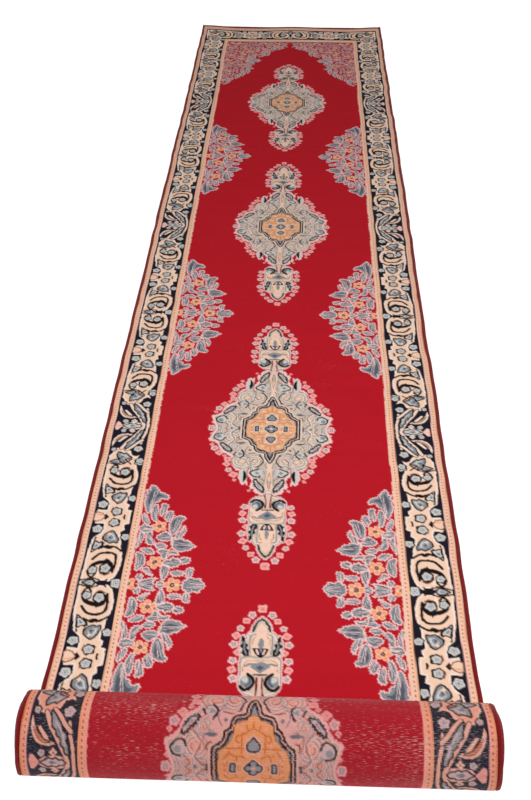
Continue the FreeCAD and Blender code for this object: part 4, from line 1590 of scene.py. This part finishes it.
@dataclass
class EndBinding:
    """The whipped end of the ground, at the far end or inside the roll."""

    weaver: Weaver
    sizes: RugSizes
    stitch_pitch: float = 0.0042
    stitch_samples: int = 3
    ring_sides: int = 8

    def build(self) -> None:
        """Make both bindings: an oval carried across the rug, swelling with each stitch."""
        half = self.sizes.binding / 2
        for name, centre in (("far", half), ("near", self.sizes.length - half)):
            step = self.stitch_pitch / self.stitch_samples
            count = round(2 * self.sizes.weave_half / step) + 1
            line = np.linspace(-self.sizes.weave_half, self.sizes.weave_half, count)
            angle = np.linspace(0, 2 * np.pi, self.ring_sides, endpoint=False)
            across, angle = np.meshgrid(line, angle, indexing="ij")
            swell = 0.95 + 0.05 * np.sin(2 * np.pi * across / self.stitch_pitch + angle)
            along = centre + half * np.cos(angle) * swell
            depth = self.sizes.edge_thickness / 2 * (1 + 0.9 * np.sin(angle) * swell)
            sheaf = Sheaf()
            self.weaver.tube(sheaf, across, along, depth, flip=True)
            finished(sheaf.mesh(f"end_whipping_{name}", OVERCAST), f"end_binding_{name}")


@dataclass
class Pile:
    """The knotted pile, one piece for each part of the pattern.

    The sizes of the motifs' patches are metres. A medallion's are half its width and how far it
    reaches from its row, and so are those of its narrow tips and of a pendant; a spray's are its
    distance from the centre line and its reach. The field is made in three lengths, cut at
    shares of the flat run.
    """

    weaver: Weaver
    sizes: RugSizes
    fine: Grain = Grain(0.0022, 0.0022)
    plain: Grain = Grain(0.0027, 0.0027)
    rolled: Grain = Grain(0.0075, 0.005)
    longest: float = 0.65
    cuts: Point = (0.36, 0.68)
    medallion: Point = (0.15, 0.145)
    medallion_tip: Point = (0.09, 0.235)
    pendant: Point = (0.062, 0.457)
    spray: Point = (0.125, 0.155)
    spray_tip: Point = (0.195, 0.285)
    corner_band: float = 0.09
    corner_side: Point = (0.173, 0.5)

    def build(self) -> None:
        """Make every piece of the pile: motifs, then the field round them, then the borders."""
        motifs = self._motifs()
        for name, patches in motifs.items():
            self._piece(f"{name}_pile", patches, self.fine, name)
        taken = [patch for patches in motifs.values() for patch in patches]
        flat = self.weaver.path.flat
        stops = (self.sizes.end_field, *(flat * cut for cut in self.cuts),
                 self.sizes.length - self.sizes.end_field)
        for name, start, end in zip(("far", "middle", "near"), stops, stops[1:]):
            rest = self._rest(start, end, taken)
            self._piece(f"field_{name}_pile", rest, self.plain, "field_pile")
        for name, patches in self._borders().items():
            self._piece(f"{name}_pile", patches, self.fine, name)

    def _piece(self, name: str, patches: list[Patch], grain: Grain, node: str) -> None:
        """Knot one piece, coarser where it lies inside the roll."""
        flat = self.weaver.path.flat
        sheaf = Sheaf()
        for patch in patches:
            count = max(1, math.ceil((patch.end - patch.start) / self.longest))
            stops = list(np.linspace(patch.start, patch.end, count + 1)) + [flat]
            for part in patch.cut(stops):
                worked = self.rolled if part.start > flat - HAIR else grain
                self.weaver.slab(sheaf, part, self.sizes.ground, self.sizes.top, worked)
        finished(sheaf.mesh(name, PILE), node)

    def _motifs(self) -> dict[str, list[Patch]]:
        """Patches of the medallions, pendants, side sprays and corner sprays, by CAD node."""
        s = self.sizes
        field_edge, first, last = s.field_half, s.end_field, s.length - s.end_field
        found = {}
        for k in range(4):
            row = s.first_row + k * s.repeat
            (half, reach), (tip_half, tip_reach) = self.medallion, self.medallion_tip
            found[f"medallion_{k + 1}"] = [Patch(-half, half, row - reach, row + reach),
                                           *Patch.pair(-tip_half, tip_half, row, reach, tip_reach)]
            half, reach = self.pendant
            for name, patch in zip(("far", "near"), Patch.pair(-half, half, row, tip_reach, reach)):
                found[f"pendant_{k + 1}_{name}"] = [patch]
        sides = {}
        for k in range(3):
            row = s.first_row + (k + 0.5) * s.repeat
            (inner, reach), (tip_inner, tip_reach) = self.spray, self.spray_tip
            sides[f"side_spray_{k + 1}"] = [
                Patch(inner, field_edge, row - reach, row + reach),
                *Patch.pair(tip_inner, field_edge, row, reach, tip_reach)]
        band, (inner, reach) = self.corner_band, self.corner_side
        sides["corner_spray_far"] = [Patch(0, field_edge, first, first + band),
                                     Patch(inner, field_edge, first + band, first + reach)]
        sides["corner_spray_near"] = [Patch(0, field_edge, last - band, last),
                                      Patch(inner, field_edge, last - reach, last - band)]
        for name, patches in sides.items():
            found[f"{name}_right"] = patches
            found[f"{name}_left"] = [patch.mirrored() for patch in patches]
        return found

    def _rest(self, start: float, end: float, taken: list[Patch]) -> list[Patch]:
        """Patches of the field between two places along that no motif has taken."""
        half = self.sizes.field_half
        stops = {start, end}
        for patch in taken:
            stops.update(p for p in (patch.start, patch.end) if start < p < end)
        rows = sorted(stops)
        rest = []
        for low, high in zip(rows, rows[1:]):
            if high - low < HAIR:
                continue
            middle = (low + high) / 2
            here = sorted((p for p in taken if p.start < middle < p.end), key=lambda p: p.left)
            edges = [-half, *(x for p in here for x in (p.left, p.right)), half]
            rest += [Patch(a, b, low, high) for a, b in zip(edges[::2], edges[1::2])
                     if b - a > HAIR]
        return rest

    def _borders(self) -> dict[str, list[Patch]]:
        """Patches of the two guards and the main border on all four sides, by CAD node."""
        s = self.sizes
        found = {}
        for name, inner, outer, depth_in, depth_out in (
                ("inner_guard", s.field_half, s.inner_guard_half, s.end_field, s.end_border),
                ("main_border", s.inner_guard_half, s.border_half, s.end_border, s.end_guard),
                ("outer_guard", s.border_half, s.weave_half, s.end_guard, s.binding)):
            side = Patch(inner, outer, depth_in, s.length - depth_in)
            found[f"{name}_right"] = [side]
            found[f"{name}_left"] = [side.mirrored()]
            found[f"{name}_far"] = [Patch(-outer, outer, depth_out, depth_in)]
            found[f"{name}_near"] = [Patch(-outer, outer, s.length - depth_in,
                                           s.length - depth_out)]
        return found


# ------------------------------------------------------------------ the room
@dataclass
class Studio:
    """Camera, soft light and a plain white floor."""

    eye: tuple[float, float, float] = (0.0583, -2.8088, 1.6244)
    pitch: float = math.radians(39.324)
    yaw: float = math.radians(-2.224)
    roll: float = math.radians(-0.217)
    lens: float = 45.0
    ambient: float = 0.45
    lamp_place: tuple[float, float, float] = (0.25, -1.75, 2.7)
    lamp_size: float = 2.2
    lamp_power: float = 46.0
    floor_half: float = 30.0
    floor_depth: float = 0.0003
    floor_grey: float = 0.2

    def build(self) -> None:
        """Put the camera, the light, the world and the floor in the scene."""
        self._camera()
        self._lights()
        self._floor()

    def _camera(self) -> None:
        """Camera axes: forward by yaw and pitch, then rolled about it."""
        forward = np.array([math.sin(self.yaw) * math.cos(self.pitch),
                            math.cos(self.yaw) * math.cos(self.pitch), -math.sin(self.pitch)])
        level = np.array([math.cos(self.yaw), -math.sin(self.yaw), 0.0])
        upward = np.cross(level, forward)
        right = math.cos(self.roll) * level + math.sin(self.roll) * upward
        up = math.cos(self.roll) * upward - math.sin(self.roll) * level
        axes = np.eye(4)
        axes[:3, 0], axes[:3, 1], axes[:3, 2], axes[:3, 3] = right, up, -forward, self.eye
        data = bpy.data.cameras.new("camera")
        data.lens = self.lens
        camera = bpy.data.objects.new("camera", data)
        bpy.context.scene.collection.objects.link(camera)
        camera.matrix_world = Matrix(axes.tolist())
        bpy.context.scene.camera = camera

    def _lights(self) -> None:
        """One large lamp over the near end, and even light from all round."""
        world = bpy.data.worlds.new("soft_room")
        world.use_nodes = True
        background = world.node_tree.nodes["Background"]
        background.inputs["Color"].default_value = (1.0, 1.0, 1.0, 1.0)
        background.inputs["Strength"].default_value = self.ambient
        bpy.context.scene.world = world
        data = bpy.data.lights.new("soft_lamp", "AREA")
        data.shape = "DISK"
        data.size = self.lamp_size
        data.energy = self.lamp_power
        lamp = bpy.data.objects.new("soft_lamp", data)
        lamp.location = self.lamp_place
        bpy.context.scene.collection.objects.link(lamp)
        bpy.context.scene.view_settings.view_transform = "Standard"

    def _floor(self) -> None:
        """A flat sheet of white that stays white in the lamp's shadows."""
        corners = ((-1, -1), (1, -1), (1, 1), (-1, 1))
        data = bpy.data.meshes.new("floor")
        data.from_pydata([(x * self.floor_half, y * self.floor_half, -self.floor_depth)
                          for x, y in corners], [], [(0, 1, 2, 3)])
        made = bpy.data.materials.new("white_floor")
        made.use_nodes = True
        shader = made.node_tree.nodes["Principled BSDF"]
        shader.inputs["Base Color"].default_value = (*(self.floor_grey,) * 3, 1.0)
        shader.inputs["Roughness"].default_value = 1.0
        shader.inputs["Specular IOR Level"].default_value = 0.0
        shader.inputs["Emission Color"].default_value = (1.0, 1.0, 1.0, 1.0)
        shader.inputs["Emission Strength"].default_value = 1.0
        data.materials.append(made)
        ground = bpy.data.objects.new("floor", data)
        bpy.context.scene.collection.objects.link(ground)


def main() -> None:
    """Build the room and the rug, in order."""
    logging.basicConfig(level=logging.INFO, format="%(message)s")
    sizes = RugSizes()
    path = RugPath(sizes)
    Studio().build()
    weaver = Weaver(path, Pattern(sizes))
    log.info("roll radius %.4f m, flat length %.4f m", path.radius, path.flat)
    GroundWeave(weaver, sizes).build()
    Pile(weaver, sizes).build()
    for side in Side:
        Selvedge(weaver, sizes, side).build()
    EndBinding(weaver, sizes).build()


if __name__ == "__main__":
    main()
